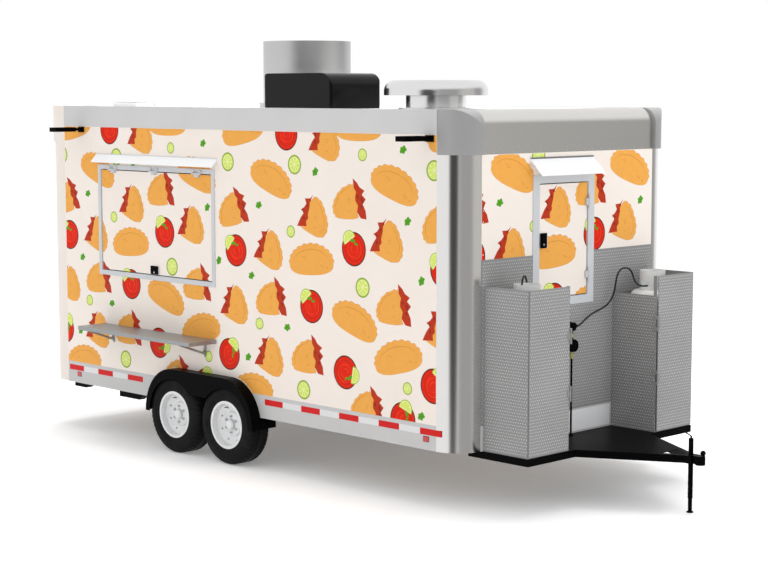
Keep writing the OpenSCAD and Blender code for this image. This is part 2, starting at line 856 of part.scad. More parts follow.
module serving_shelf() {
    lip = 35;
    sheet = 4;
    x0 = -hatch_mid - hatch_w / 2 + 24;
    arms = [x0 + 135, x0 + shelf_w - 150];
    arm_t = 20;
    // a bracket's side view, from where the shelf meets the wall
    arm = [[0, -2], [0, -165], [-8, -165], [-14, -145], [10 - shelf_d, -lip - 6],
        [10 - shelf_d, 14 - lip], [-28, -120], [-14, -100], [-14, -2]];
    color("#969897") place() {
        block([x0, -half_w - shelf_d, shelf_z - sheet], [x0 + shelf_w, -half_w, shelf_z]);
        block([x0, -half_w - shelf_d, shelf_z - lip],
            [x0 + shelf_w, -half_w - shelf_d + sheet, shelf_z]);
        block([x0, -half_w - sheet, shelf_z - lip], [x0 + shelf_w, -half_w, shelf_z]);
        for (x = [x0, x0 + shelf_w - sheet])
            block([x, -half_w - shelf_d, shelf_z - lip], [x + sheet, -half_w, shelf_z]);
        for (x = arms) along_x(x - arm_t / 2, x + arm_t / 2)
            translate([-half_w, shelf_z]) polygon(arm);
    }
}

module light_bars() {
    z = rail_z - 46;
    color("#0b0b0c") place() for (x = [-corner_r - 75, side_x0 + 275]) {
        block([x - 50, -half_w - light_l, z], [x + 50, -half_w - light_l * 0.3, z + 40]);
        block([x - 20, -half_w - light_l * 0.4, z + 8], [x + 20, -half_w, z + 32]);
        block([x - 45, -half_w - 8, z - 8], [x + 45, -half_w, z + 42]);
    }
}

// ---- gas lockers, bottles and pipework ----

// One locker on the right, without its front door
module locker() {
    top = skirt_z + locker_h;
    front = deck_l - 10;
    block([guard_t, -locker_y1, skirt_z], [front, -locker_y1 + locker_t, top]);
    block([guard_t, -locker_y0 - locker_t, skirt_z], [front, -locker_y0, top - locker_step]);
    block([guard_t, -locker_y1, skirt_z], [guard_t + locker_t, -locker_y0, top - locker_step]);
    block([guard_t, -locker_y1, skirt_z], [front, -locker_y0, skirt_z + locker_t]);
    // the inner panel's front upright carries the hinges to full height
    block([front - 30, -locker_y0 - locker_t, skirt_z], [front, -locker_y0, top]);
    at_locker_hinge() hinge_fixed(locker_hinges, 8, hinge_out + 32);
}

module at_locker_hinge() {
    translate([deck_l - 10 + hinge_out, -locker_y0 - 4, skirt_z + locker_h / 2])
        rotate([0, 0, 90]) children();
}

module gas_lockers() {
    color("#a0a2a2") place() both_sides() locker();
}

module locker_door() {
    w = locker_y1 - locker_y0;
    gap = 8;
    knuckle = 54;
    color("#a0a2a2") at_locker_hinge() {
        translate([-w + gap / 2, hinge_out - locker_t - leaf_gap, -locker_h / 2 + gap])
            cube([w - 1.5 * gap, locker_t, locker_h - gap]);
        for (z = locker_hinges) translate([0, 0, z]) difference() {
            union() {
                translate([-leaf_gap - leaf_w, 0, -knuckle / 2])
                    cube([leaf_w, hinge_out - leaf_gap - 5, knuckle]);
                cylinder(r = knuckle_r, h = knuckle, center = true);
            }
            cylinder(r = pin_r + pin_gap, h = knuckle + leaf_gap, center = true);
        }
    }
}

module locker_door_right() { place() locker_door(); }
module locker_door_left() { place() mirror([0, 1, 0]) locker_door(); }

// A gas bottle's outline: foot ring, body with round shoulders, valve neck
module bottle_profile() {
    r = bottle_r;
    body_top = bottle_h - 130;
    low = 30;
    bend = 60;
    intersection() {
        translate([0, low]) square([r, body_top - low]);
        union() {
            translate([0, low + bend]) square([r, body_top - 2 * (low + bend)]);
            for (z = [low + bend, body_top - low - bend]) translate([0, z]) {
                translate([r - bend, 0]) circle(bend);
                translate([0, -bend]) square([r - bend, 2 * bend]);
            }
        }
    }
    translate([r - 50, 0]) square([6, bend]);
}

module bottle() {
    collar_r = 105;
    collar_h = 160;
    collar_t = 4;
    translate([bottle_x, -bottle_y, skirt_z + locker_t]) {
        rotate_extrude() bottle_profile();
        translate([0, 0, bottle_h - collar_h]) difference() {
            cylinder(r = collar_r, h = collar_h);
            translate([0, 0, 8]) cylinder(r = collar_r - collar_t, h = collar_h);
            translate([-40, 0, 15]) cube([80, collar_r + 15, 60]);
        }
        translate([0, 0, bottle_h - collar_h - 5]) cylinder(r = 16, h = 75);
        translate([0, valve_in, bottle_h - collar_h + 35]) rotate([90, 0, 0])
            cylinder(r = valve_r, h = valve_in + valve_out);
    }
}

module gas_bottles() {
    color("#eceded") place() both_sides() bottle();
}

// Two round regulators one above the other, the hoses' cross pipe at the
// upper one and the riser pipe down to the deck
module gas_regulators() {
    high = 1328;
    low = 1175;
    clip = 14;
    color("#26282a") place() {
        translate([reg_x, reg_y, high]) rotate([0, 90, 0]) cylinder(r = 34, h = 46, center = true);
        translate([reg_x, reg_y, low]) rotate([0, 90, 0]) cylinder(r = 50, h = 60, center = true);
        translate([reg_x, reg_y, low]) cylinder(r = 13, h = high - low);
        translate([reg_x, reg_y + 60, high]) rotate([90, 0, 0]) cylinder(r = 11, h = 120);
        translate([reg_x, reg_y, skirt_z]) cylinder(r = 8, h = low - skirt_z);
        translate([reg_x, reg_y, skirt_z]) cylinder(r = 20, h = 8);
        for (z = [high, low])
            block([guard_t, reg_y - clip, z - clip], [reg_x, reg_y + clip, z + clip]);
    }
}

module gas_hose_right() {
    color("#151515") place() swept_tube(right_route, hose_r);
}

module gas_hose_left() {
    color("#151515") place() swept_tube(left_route, hose_r);
}

// ---- roof ----

module on_roof(at) {
    translate([at[0], at[1], roof_z - roof_drop]) children();
}

// An open drum on a round curb, with the fan motor on three struts inside
module exhaust_stack() {
    t = 4;
    motor_r = 70;
    motor_h = 260;
    strut_w = 24;
    color("#9b9d9e") place() on_roof(stack_at) {
        difference() {
            union() {
                cylinder(r = stack_r, h = stack_h + roof_drop);
                cylinder(r = stack_r + curb, h = curb);
            }
            translate([0, 0, curb]) cylinder(r = stack_r - t, h = stack_h);
        }
        cylinder(r = motor_r, h = motor_h);
        for (a = [0:120:359]) rotate([0, 0, a]) translate([0, -strut_w / 2, 180])
            cube([stack_r - t / 2, strut_w, 40]);
        cylinder(r = shaft_r, h = fan_z + fan_h + 20);
    }
}

module stack_fan() {
    tip_r = stack_r - 30;
    hub_r = 60;
    root = hub_r - 10;
    blade_w = 110;
    blade_t = 4;
    pitch = 28;
    color("#6f7274") place() on_roof(stack_at) translate([0, 0, fan_z]) difference() {
        union() {
            cylinder(r = hub_r, h = fan_h);
            for (a = [0:60:359]) rotate([0, 0, a]) translate([root, 0, fan_h / 2])
                rotate([pitch, 0, 0]) translate([0, -blade_w / 2, -blade_t / 2])
                    cube([tip_r - root, blade_w, blade_t]);
        }
        translate([0, 0, -1]) cylinder(r = shaft_r + spindle_gap, h = fan_h + 2);
    }
}

module air_conditioner() {
    l = cooler_size[0];
    w = cooler_size[1];
    h = cooler_size[2] + roof_drop;
    r = 118;
    corner = 30;
    color("#17181a") place() on_roof(cooler_at) intersection() {
        along_y(0, w) {
            square([l, h - r]);
            translate([r / 2, 0]) square([l - 1.5 * r, h]);
            translate([l - r, h - r]) circle(r);
            translate([r / 2, h - r / 2]) circle(r / 2);
            square([r, h - r / 2]);
        }
        linear_extrude(h) {
            translate([corner, 0]) square([l - 2 * corner, w]);
            translate([0, corner]) square([l, w - 2 * corner]);
            for (x = [corner, l - corner], y = [corner, w - corner])
                translate([x, y]) circle(corner);
        }
    }
}

module round_fan() {
    neck_h = 105;
    cap_h = 120;
    round = 85;
    flange = 60;
    color("#c2c4c5") place() on_roof(round_fan_at) {
        cylinder(r = neck_r, h = neck_h + 30);
        cylinder(r = neck_r + flange, h = 14);
        translate([0, 0, neck_h + roof_drop]) rotate_extrude() difference() {
            square([cap_r, cap_h]);
            translate([cap_r - round, cap_h - round]) difference() {
                square(round + 1);
                circle(round);
            }
            translate([neck_r + 1, -1]) square([cap_r - neck_r - 6, flange]);
        }
    }
}

module roof_vent() {
    rim = 20;
    color("#e9e9e9") place() on_roof(vent_at) difference() {
        translate([-vent_s / 2, -vent_s / 2, 0]) cube([vent_s, vent_s, vent_h]);
        translate([rim - vent_s / 2, rim - vent_s / 2, 6])
            cube([vent_s - 2 * rim, vent_s - 2 * rim, vent_h]);
    }
    place() at_vent_hinge() hinge_fixed([0]);
}

module at_vent_hinge() {
    on_roof(vent_at) translate([vent_s / 2 - 8, 0, vent_h + hinge_out - ring_out])
        rotate([-90, 0, 0]) children();
}

module vent_lid() {
    s = vent_s + 20;
    color("#f2f2f2") place() at_vent_hinge() {
        translate([18 - s, -10, -s / 2]) cube([s - 32, 14, s]);
        hinge_moving([0], 4 - hinge_out);
    }
}

chassis();
floor();
tongue_frame();
coupler();
tongue_jack();
axles();
suspension();
tyre_front_right();
tyre_rear_right();
tyre_front_left();
tyre_rear_left();
wheel_front_right();
wheel_rear_right();
wheel_front_left();
wheel_rear_left();
fenders();
skirts();
right_wall();
left_wall();
front_wall();
rear_wall();
front_posts();
rear_posts();
front_castings();
top_rails();
front_cap();
roof();
stone_guard();
opening_frames();
rain_hoods();
side_hatch();
front_hatch();
rear_door();
serving_shelf();
light_bars();
gas_lockers();
locker_door_right();
locker_door_left();
gas_bottles();
gas_regulators();
gas_hose_right();
gas_hose_left();
exhaust_stack();
stack_fan();
air_conditioner();
round_fan();
roof_vent();
vent_lid();
stabilisers();
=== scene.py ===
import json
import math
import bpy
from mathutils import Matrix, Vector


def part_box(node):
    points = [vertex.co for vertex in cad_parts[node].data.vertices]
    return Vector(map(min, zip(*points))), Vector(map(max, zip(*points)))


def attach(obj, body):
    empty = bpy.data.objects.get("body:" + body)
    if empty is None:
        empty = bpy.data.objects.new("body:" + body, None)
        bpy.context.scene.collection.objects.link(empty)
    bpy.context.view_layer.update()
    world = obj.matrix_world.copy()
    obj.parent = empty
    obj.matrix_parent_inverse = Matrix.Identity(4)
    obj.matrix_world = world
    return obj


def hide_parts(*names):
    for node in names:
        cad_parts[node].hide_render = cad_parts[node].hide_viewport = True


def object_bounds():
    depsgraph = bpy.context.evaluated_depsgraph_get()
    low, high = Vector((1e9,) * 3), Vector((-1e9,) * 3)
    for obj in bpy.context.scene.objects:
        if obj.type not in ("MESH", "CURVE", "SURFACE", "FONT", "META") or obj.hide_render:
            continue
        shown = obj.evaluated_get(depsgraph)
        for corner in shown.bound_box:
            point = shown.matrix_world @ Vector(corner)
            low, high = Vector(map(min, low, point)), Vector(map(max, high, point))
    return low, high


bl_info = {
    "name": "Food Concession Trailer",
    "version": (1, 0, 0),
    "blender": (4, 5, 0),
    "location": "3D View > Sidebar > Trailer",
    "description": "Finishes a towed food concession trailer around its CAD frame",
    "category": "Add Mesh",
}

import bmesh
import bpy
import numpy as np
from bpy.props import (
    FloatProperty,
    FloatVectorProperty,
    IntProperty,
    PointerProperty,
)
from mathutils import Vector

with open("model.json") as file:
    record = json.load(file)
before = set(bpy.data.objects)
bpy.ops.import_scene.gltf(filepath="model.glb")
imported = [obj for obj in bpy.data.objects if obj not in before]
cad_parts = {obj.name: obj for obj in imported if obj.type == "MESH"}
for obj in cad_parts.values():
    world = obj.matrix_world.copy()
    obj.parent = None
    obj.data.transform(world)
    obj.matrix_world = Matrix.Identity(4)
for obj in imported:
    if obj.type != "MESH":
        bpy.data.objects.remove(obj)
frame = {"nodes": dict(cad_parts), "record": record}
CAD_BOX = [list(corner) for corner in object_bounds()]

# Heights below count from the ground and lengths from the front wall's outer face.
GROUND = CAD_BOX[0][2]
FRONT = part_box("front_wall")[1].x
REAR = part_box("rear_wall")[0].x - FRONT
HALF = -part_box("right_wall")[0].y
WALL_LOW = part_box("right_wall")[0].z - GROUND
WALL_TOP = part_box("right_wall")[1].z - GROUND
SKIRT_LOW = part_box("skirts")[0].z - GROUND
ROOF_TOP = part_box("top_rails")[1].z - GROUND
FLAT_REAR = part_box("right_wall")[0].x - FRONT
FLAT_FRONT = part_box("right_wall")[1].x - FRONT
FLAT_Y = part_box("front_wall")[1].y
CAST_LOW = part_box("front_castings")[0].z - GROUND


def linear(code, alpha=1.0):
    """sRGB hex text as a linear colour: the sRGB curve undone for each channel."""
    value = np.array([int(code[i : i + 2], 16) for i in (1, 3, 5)]) / 255
    value = np.where(value <= 0.04045, value / 12.92, ((value + 0.055) / 1.055) ** 2.4)
    return (*[float(v) for v in value], alpha)


def at(x, y, h):
    """A point given from the front wall's foot, in the frame of the whole model."""
    return np.array([x + FRONT, y, h + GROUND])


def size():
    """The sizes a user can change."""
    return bpy.context.scene.trailer_sizes


def paint():
    """The colours a user can change."""
    return bpy.context.scene.trailer_colours


# ---- Places and directions ---------------------------------------------------


class Face:
    """A flat place with an origin and three directions: u right, v up, n outwards."""

    def __init__(self, origin, u, v):
        self.origin = np.asarray(origin, float)
        self.u = np.asarray(u, float)
        self.v = np.asarray(v, float)
        self.n = np.cross(self.u, self.v)

    def put(self, points):
        """Carries points given as (right, up, out) to the place."""
        points = np.asarray(points, float)
        return self.origin + points @ np.array([self.u, self.v, self.n])

    def moved(self, right=0.0, up=0.0, out=0.0):
        return Face(self.put([right, up, out]), self.u, self.v)

    def turned(self, angle):
        """The same place turned about its outward direction, angle in radians."""
        c, s = math.cos(angle), math.sin(angle)
        return Face(self.origin, c * self.u + s * self.v, c * self.v - s * self.u)


def right_face(x, h, out=0.0):
    """A place on the right side; the four makers below do the same for the other sides."""
    return Face(at(x, -HALF - out, h), (1, 0, 0), (0, 0, 1))


def left_face(x, h, out=0.0):
    return Face(at(x, HALF + out, h), (-1, 0, 0), (0, 0, 1))


def front_face(y, h, out=0.0):
    return Face(at(out, y, h), (0, 1, 0), (0, 0, 1))


def rear_face(y, h, out=0.0):
    return Face(at(REAR - out, y, h), (0, -1, 0), (0, 0, 1))


def top_face(x, y, h):
    return Face(at(x, y, h), (1, 0, 0), (0, 1, 0))


# ---- Shapes as arrays --------------------------------------------------------


def grid_faces(rows, columns, wrap_rows=False, wrap_columns=False):
    """Quads between neighbours of a grid of points laid out row by row."""
    r = np.arange(rows if wrap_rows else rows - 1)
    c = np.arange(columns if wrap_columns else columns - 1)
    r, c = (a.ravel() for a in np.meshgrid(r, c, indexing="ij"))
    r2, c2 = (r + 1) % rows, (c + 1) % columns
    return np.stack([r * columns + c, r * columns + c2, r2 * columns + c2, r2 * columns + c], 1)


def lathe(profile, face, steps=48, arc=2 * math.pi, closed=False):
    """Turns a profile of (radius, out) about a place's outward direction.

    Each point is (radius cos a, radius sin a, out) for angles a spread over the arc."""
    profile = np.asarray(profile, float)
    whole = arc > 2 * math.pi - 1e-6
    angle = np.linspace(0, arc, steps, endpoint=not whole)
    points = np.stack(
        [
            np.outer(np.cos(angle), profile[:, 0]),
            np.outer(np.sin(angle), profile[:, 0]),
            np.tile(profile[:, 1], (steps, 1)),
        ],
        -1,
    )
    return face.put(points.reshape(-1, 3)), grid_faces(steps, len(profile), whole, closed)


def tube(path, radius, sides=10):
    """A round tube along a path of points, with flat ends.

    Each ring is the path's point plus radius times a circle in the plane across the path."""
    path = np.asarray(path, float)
    along = np.gradient(path, axis=0)
    along /= np.linalg.norm(along, axis=1)[:, None]
    spans = np.ptp(path, axis=0)
    helper = np.eye(3)[int(np.argmin(np.abs(along).max(0) + 0.1 * spans / (spans.max() + 1e-9)))]
    across = np.cross(along, helper)
    across /= np.linalg.norm(across, axis=1)[:, None]
    third = np.cross(along, across)
    angle = np.linspace(0, 2 * math.pi, sides, endpoint=False)
    ring = (
        np.cos(angle)[None, :, None] * across[:, None, :]
        + np.sin(angle)[None, :, None] * third[:, None, :]
    )
    radius = np.broadcast_to(np.asarray(radius, float), (len(path),))
    points = path[:, None, :] + radius[:, None, None] * ring
    quads = grid_faces(len(path), sides, False, True)[:, ::-1]
    last = (len(path) - 1) * sides
    caps = [np.arange(sides)[None, :], last + np.arange(sides)[::-1][None, :]]
    return points.reshape(-1, 3), [quads[:, ::-1], caps[0][:, ::-1], caps[1][:, ::-1]]


def smooth_path(points, steps=4):
    """A Catmull-Rom curve: each span is a cubic whose slopes join its neighbours."""
    p = np.asarray(points, float)
    p = np.vstack([2 * p[0] - p[1], p, 2 * p[-1] - p[-2]])
    t = np.linspace(0, 1, steps, endpoint=False)[None, :, None]
    a, b, c, d = p[:-3, None], p[1:-2, None], p[2:-1, None], p[3:, None]
    curve = 0.5 * (
        2 * b + (c - a) * t + (2 * a - 5 * b + 4 * c - d) * t**2 + (3 * b - a - 3 * c + d) * t**3
    )
    return np.vstack([curve.reshape(-1, 3), p[-2]])


def prism(outline, face, height, base=0.0):
    """A flat outline of (right, up) raised from base to height, closed all round."""
    outline = np.asarray(outline, float)
    area = 0.5 * np.sum(
        outline[:, 0] * np.roll(outline[:, 1], -1) - outline[:, 1] * np.roll(outline[:, 0], -1)
    )
    if area < 0:
        outline = outline[::-1]
    n = len(outline)
    flat = np.column_stack([outline, np.full(n, base)])
    top = np.column_stack([outline, np.full(n, height)])
    i = np.arange(n)
    sides = np.stack([i, (i + 1) % n, (i + 1) % n + n, i + n], 1)
    return face.put(np.vstack([flat, top])), [i[::-1][None, :], (i + n)[None, :], sides]


def round_rect(width, height, corner, steps=5):
    """A rectangle with quarter circles of the corner's radius, about its middle."""
    angle = np.linspace(0, math.pi / 2, steps)
    quarter = np.stack([np.cos(angle), np.sin(angle)], 1) * corner
    w, h = width / 2 - corner, height / 2 - corner
    parts = []
    for k, (x, y) in enumerate(((w, h), (-w, h), (-w, -h), (w, -h))):
        c, s = math.cos(k * math.pi / 2), math.sin(k * math.pi / 2)
        parts.append(quarter @ np.array([[c, s], [-s, c]]) + (x, y))
    return np.vstack(parts)


def plate(face, width, height, thick, corner=0.004, edge=0.001, base=0.0):
    """A rounded plate whose outer edge is drawn in by a small round: three rings and two caps."""
    outer = round_rect(width, height, corner)
    inner = round_rect(width - 2 * edge, height - 2 * edge, max(corner - edge, 1e-4))
    n = len(outer)
    rings = [
        np.column_stack([outer, np.full(n, base)]),
        np.column_stack([outer, np.full(n, thick - edge)]),
        np.column_stack([inner, np.full(n, thick)]),
    ]
    i = np.arange(n)
    return face.put(np.vstack(rings)), [
        grid_faces(3, n, False, True)[:, ::1],
        i[::-1][None, :],
        (i + 2 * n)[None, :],
    ]


def copies(shape, faces_at):
    """One shape drawn at the origin, repeated at many places as one set of arrays."""
    points, faces = shape
    faces = faces if isinstance(faces, list) else [faces]
    points = np.asarray(points, float)
    origin = np.array([f.origin for f in faces_at])
    turn = np.array([[f.u, f.v, f.n] for f in faces_at])
    spread = origin[:, None, :] + np.einsum("pk,mkj->mpj", points, turn)
    step = (np.arange(len(faces_at)) * len(points))[:, None, None]
    return spread.reshape(-1, 3), [(f[None] + step).reshape(-1, f.shape[1]) for f in faces]


HOME = Face((0, 0, 0), (1, 0, 0), (0, 1, 0))


def dome(radius, height, steps=8, rings=3):
    """A rivet's low dome: rings at radius cos b and height sin b, closed below."""
    b = np.linspace(0, math.pi / 2, rings + 1)[:-1]
    profile = np.stack([radius * np.cos(b), height * np.sin(b)], 1)
    points, faces = lathe(profile, HOME, steps)
    top = len(points)
    points = np.vstack([points, [0, 0, height]])
    last = np.arange(steps) * len(profile) + len(profile) - 1
    cap = np.stack([last, np.roll(last, -1), np.full(steps, top)], 1)
    base = (np.arange(steps) * len(profile))[::-1][None, :]
    return points, [faces[:, ::-1], cap, base]


def hex_nut(radius, height):
    """A six-sided nut with its upper edge drawn in and a round stud end on top."""
    angle = np.arange(6) * math.pi / 3
    hexagon = np.stack([np.cos(angle), np.sin(angle)], 1) * radius
    rings = [(1.0, 0.0), (1.0, 0.8 * height), (0.86, height), (0.5, height), (0.46, 1.35 * height)]
    points = np.vstack([np.column_stack([hexagon * k, np.full(6, z)]) for k, z in rings])
    i = np.arange(6)
    top = (i + 6 * (len(rings) - 1))[None, :]
    return points, [grid_faces(len(rings), 6, False, True), i[::-1][None, :], top]


class Piece:
    """Gathers shapes into one mesh that rides on a body of the frame."""

    def __init__(self, name, body, slot):
        self.name, self.body, self.slot = name, body, slot
        self.points, self.faces, self.index, self.inks, self.count = [], [], [], [], 0

    def add(self, shape, material=0, ink=None):
        points, faces = shape
        faces = faces if isinstance(faces, list) else [faces]
        for f in faces:
            self.faces.extend((f + self.count).tolist())
            self.index.append(np.full(len(f), material))
            self.inks.append(np.tile(ink if ink else (1, 1, 1, 1), (f.size, 1)))
        self.points.append(points)
        self.count += len(points)
        return self

    def make(self, *materials, smooth=None, weld=True, replaces=()):
        """Makes the mesh. smooth is the angle in degrees past which an edge stays sharp."""
        mesh = bpy.data.meshes.new(self.name)
        mesh.from_pydata(np.vstack(self.points).tolist(), [], self.faces)
        mesh.polygons.foreach_set("material_index", np.concatenate(self.index).astype(np.int32))
        if any(np.any(i != 1) for i in self.inks):
            layer = mesh.color_attributes.new("ink", "FLOAT_COLOR", "CORNER")
            layer.data.foreach_set("color", np.vstack(self.inks).astype(np.float32).ravel())
        if weld:
            shaped = bmesh.new()
            shaped.from_mesh(mesh)
            bmesh.ops.remove_doubles(shaped, verts=shaped.verts, dist=1e-6)
            bmesh.ops.recalc_face_normals(shaped, faces=shaped.faces)
            shaped.to_mesh(mesh)
            shaped.free()
        if smooth is not None:
            mesh.shade_smooth()
            mesh.set_sharp_from_angle(angle=math.radians(smooth))
        made = bpy.data.objects.new(self.name, mesh)
        bpy.context.scene.collection.objects.link(made)
        for material in materials:
            mesh.materials.append(material)
        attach(made, self.body)
        if replaces:
            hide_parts(*replaces)
        return made


# ---- Materials ---------------------------------------------------------------


def add_node(tree, kind, settings=None, links=None):
    """Adds a node, sets its properties or input values by name, and links its inputs."""
    made = tree.nodes.new(kind)
    for key, value in (settings or {}).items():
        if isinstance(key, str) and hasattr(made, key):
            setattr(made, key, value)
        else:
            made.inputs[key].default_value = value
    for key, socket in (links or {}).items():
        tree.links.new(socket, made.inputs[key])
    return made


def new_tree(name):
    """A material with an output, a Principled shader linked to it, and Object coordinates."""
    made = bpy.data.materials.new(name)
    made.use_nodes = True
    tree = made.node_tree
    tree.nodes.clear()
    shader = add_node(tree, "ShaderNodeBsdfPrincipled")
    add_node(tree, "ShaderNodeOutputMaterial", None, {"Surface": shader.outputs["BSDF"]})
    place = add_node(tree, "ShaderNodeTexCoord").outputs["Object"]
    return made, tree, shader, place


def set_shader(tree, shader, settings=None, links=None):
    for key, value in (settings or {}).items():
        shader.inputs[key].default_value = value
    for key, socket in (links or {}).items():
        tree.links.new(socket, shader.inputs[key])


def noise(tree, place, size_mm, detail=2.0, stretch=(1, 1, 1), rough=0.5):
    """Noise whose features are about size_mm wide, drawn out along stretch."""
    scale = [1000 / size_mm / s for s in stretch]
    turned = add_node(tree, "ShaderNodeMapping", {"Scale": scale}, {"Vector": place})
    made = add_node(
        tree,
        "ShaderNodeTexNoise",
        {"Scale": 1.0, "Detail": detail, "Roughness": rough},
        {"Vector": turned.outputs["Vector"]},
    )
    return made.outputs["Fac"]


def spread(tree, value, low, high, start=0.3, end=0.7):
    """Carries a noise value from the range start to end over to low to high."""
    made = add_node(
        tree,
        "ShaderNodeMapRange",
        {"From Min": start, "From Max": end, "To Min": low, "To Max": high},
        {"Value": value},
    )
    return made.outputs["Result"]


def blend_colours(tree, factor, first, second):
    """Mixes two colours, each an RGBA value or a socket, by a factor socket."""
    settings, links = {"data_type": "RGBA"}, {"Factor": factor}
    for key, colour in ((6, first), (7, second)):
        if isinstance(colour, bpy.types.NodeSocket):
            links[key] = colour
        else:
            settings[key] = colour
    return add_node(tree, "ShaderNodeMix", settings, links).outputs[2]


def bump(tree, height, depth_mm, strength=1.0):
    made = add_node(
        tree,
        "ShaderNodeBump",
        {"Strength": strength, "Distance": depth_mm / 1000},
        {"Height": height},
    )
    return made.outputs["Normal"]


def finish(
    name,
    colour,
    rough,
    metallic=0.0,
    grain_mm=3.0,
    grain_depth_mm=0.05,
    vary=0.04,
    stretch=(1, 1, 1),
    cloud_mm=400.0,
    specular=0.5,
):
    """A one-colour finish: a fine grain in bump and roughness, and a slow change of tone."""
    made, tree, shader, place = new_tree(name)
    grain = noise(tree, place, grain_mm, 3.0, stretch)
    cloud = noise(tree, place, cloud_mm, 2.0)
    base = np.array(linear(colour) if isinstance(colour, str) else colour)
    darker = (*[float(v) for v in base[:3] * (1 - vary)], 1.0)
    lighter = (*[float(min(1, v)) for v in base[:3] * (1 + vary)], 1.0)
    mixed = blend_colours(tree, spread(tree, cloud, 0, 1), darker, lighter)
    mixed = blend_colours(tree, spread(tree, grain, 0, 0.35), mixed, darker)
    set_shader(
        tree,
        shader,
        {"Metallic": metallic, "Specular IOR Level": specular},
        {
            "Base Color": mixed,
            "Roughness": spread(tree, grain, rough - 0.05, rough + 0.05),
            "Normal": bump(tree, grain, grain_depth_mm),
        },
    )
    return made


def film_and_liner(name, axis, limit, outside_is_low):
    """Wall panel: printed-film ground on the outer face, white plastic liner and edges
    inside, and grey powder coat on the hinge leaves and latch that stand out of it.

    The film is smooth and slightly glossy over faintly wavy sheet; the liner is pebbled."""
    made, tree, shader, place = new_tree(name)
    parts = add_node(tree, "ShaderNodeSeparateXYZ", None, {"Vector": place})
    way, skin = ("LESS_THAN", 0.0005) if outside_is_low else ("GREATER_THAN", -0.0005)
    outside, proud = (
        add_node(
            tree, "ShaderNodeMath", {"operation": way, 1: limit + shift}, {0: parts.outputs[axis]}
        ).outputs["Value"]
        for shift in (skin, -2 * skin)
    )
    waves = noise(tree, place, 650, 1.0)
    pebbles = noise(tree, place, 6, 2.0)
    ground = blend_colours(
        tree, spread(tree, waves, 0, 1), tuple(paint().cream), linear("#F6EDE5")
    )
    tone = blend_colours(tree, outside, linear("#E9EAE8"), ground)
    tone = blend_colours(tree, proud, tone, linear("#C9CCD0"))
    relief = add_node(
        tree,
        "ShaderNodeMix",
        {"data_type": "FLOAT"},
        {0: outside, 2: pebbles, 3: waves},
    ).outputs[0]
    set_shader(
        tree,
        shader,
        {"Specular IOR Level": 0.15},
        {
            "Base Color": tone,
            "Roughness": spread(tree, pebbles, 0.38, 0.46),
            "Normal": bump(tree, relief, 0.4, 0.5),
        },
    )
    return made


def printed_inks():
    """Solvent ink on vinyl film: flat colours from the ink attribute under a satin laminate."""
    found = bpy.data.materials.get("printed_vinyl_ink")
    if found:
        return found
    made, tree, shader, place = new_tree("printed_vinyl_ink")
    inks = add_node(tree, "ShaderNodeAttribute", {"attribute_name": "ink"}).outputs["Color"]
    mottle = noise(tree, place, 45, 3.0)
    shade = add_node(
        tree,
        "ShaderNodeMix",
        {"data_type": "RGBA", "blend_type": "MULTIPLY", 7: (0.93, 0.9, 0.88, 1)},
        {0: spread(tree, mottle, 0.0, 0.5), 6: inks},
    ).outputs[2]
    set_shader(
        tree,
        shader,
        {"Specular IOR Level": 0.12},
        {"Base Color": shade, "Roughness": spread(tree, mottle, 0.38, 0.46)},
    )
    return made


def brushed_metal(name, colour, rough, stretch, line_mm=1.6, metallic=1.0, depth_mm=0.02):
    """Ground sheet metal: fine lines along one direction that break up its reflections."""
    made, tree, shader, place = new_tree(name)
    lines = noise(tree, place, line_mm, 4.0, stretch, 0.7)
    smears = noise(tree, place, 160, 2.0, stretch)
    base = linear(colour)
    darker = (*[v * 0.93 for v in base[:3]], 1.0)
    set_shader(
        tree,
        shader,
        {"Metallic": metallic},
        {
            "Base Color": blend_colours(tree, spread(tree, lines, 0, 1), darker, base),
            "Roughness": spread(tree, smears, rough - 0.04, rough + 0.05),
            "Normal": bump(tree, lines, depth_mm),
        },
    )
    return made


def tape_material(name, colour):
    """Retroreflective tape: satin film over a honeycomb of prisms, drawn 6 mm wide to show."""
    found = bpy.data.materials.get(name)
    if found:
        return found
    made, tree, shader, place = new_tree(name)
    cells = add_node(
        tree,
        "ShaderNodeTexVoronoi",
        {"Scale": 170.0, "feature": "DISTANCE_TO_EDGE"},
        {"Vector": place},
    ).outputs["Distance"]
    base = linear(colour)
    pale = (*[min(1.0, v * 1.12 + 0.01) for v in base[:3]], 1.0)
    set_shader(
        tree,
        shader,
        {"Specular IOR Level": 0.2},
        {
            "Base Color": blend_colours(tree, spread(tree, cells, 0, 1, 0.0, 0.12), base, pale),
            "Roughness": spread(tree, cells, 0.3, 0.42, 0.0, 0.2),
            "Normal": bump(tree, cells, 0.1, 0.4),
        },
    )
    return made


def lens_material(name, colour):
    """Moulded acrylic lens: saturated and glossy, with vertical flutes under the surface."""
    found = bpy.data.materials.get(name)
    if found:
        return found
    made, tree, shader, place = new_tree(name)
    flutes = add_node(
        tree,
        "ShaderNodeTexWave",
        {"Scale": 60.0, "bands_direction": "DIAGONAL"},
        {"Vector": place},
    ).outputs["Fac"]
    base = linear(colour)
    deep = (*[v * 0.6 for v in base[:3]], 1.0)
    set_shader(
        tree,
        shader,
        {"Coat Weight": 1.0, "Coat Roughness": 0.05},
        {
            "Base Color": blend_colours(tree, flutes, deep, base),
            "Roughness": spread(tree, flutes, 0.15, 0.25, 0, 1),
            "Normal": bump(tree, flutes, 0.2, 0.4),
        },
    )
    return made


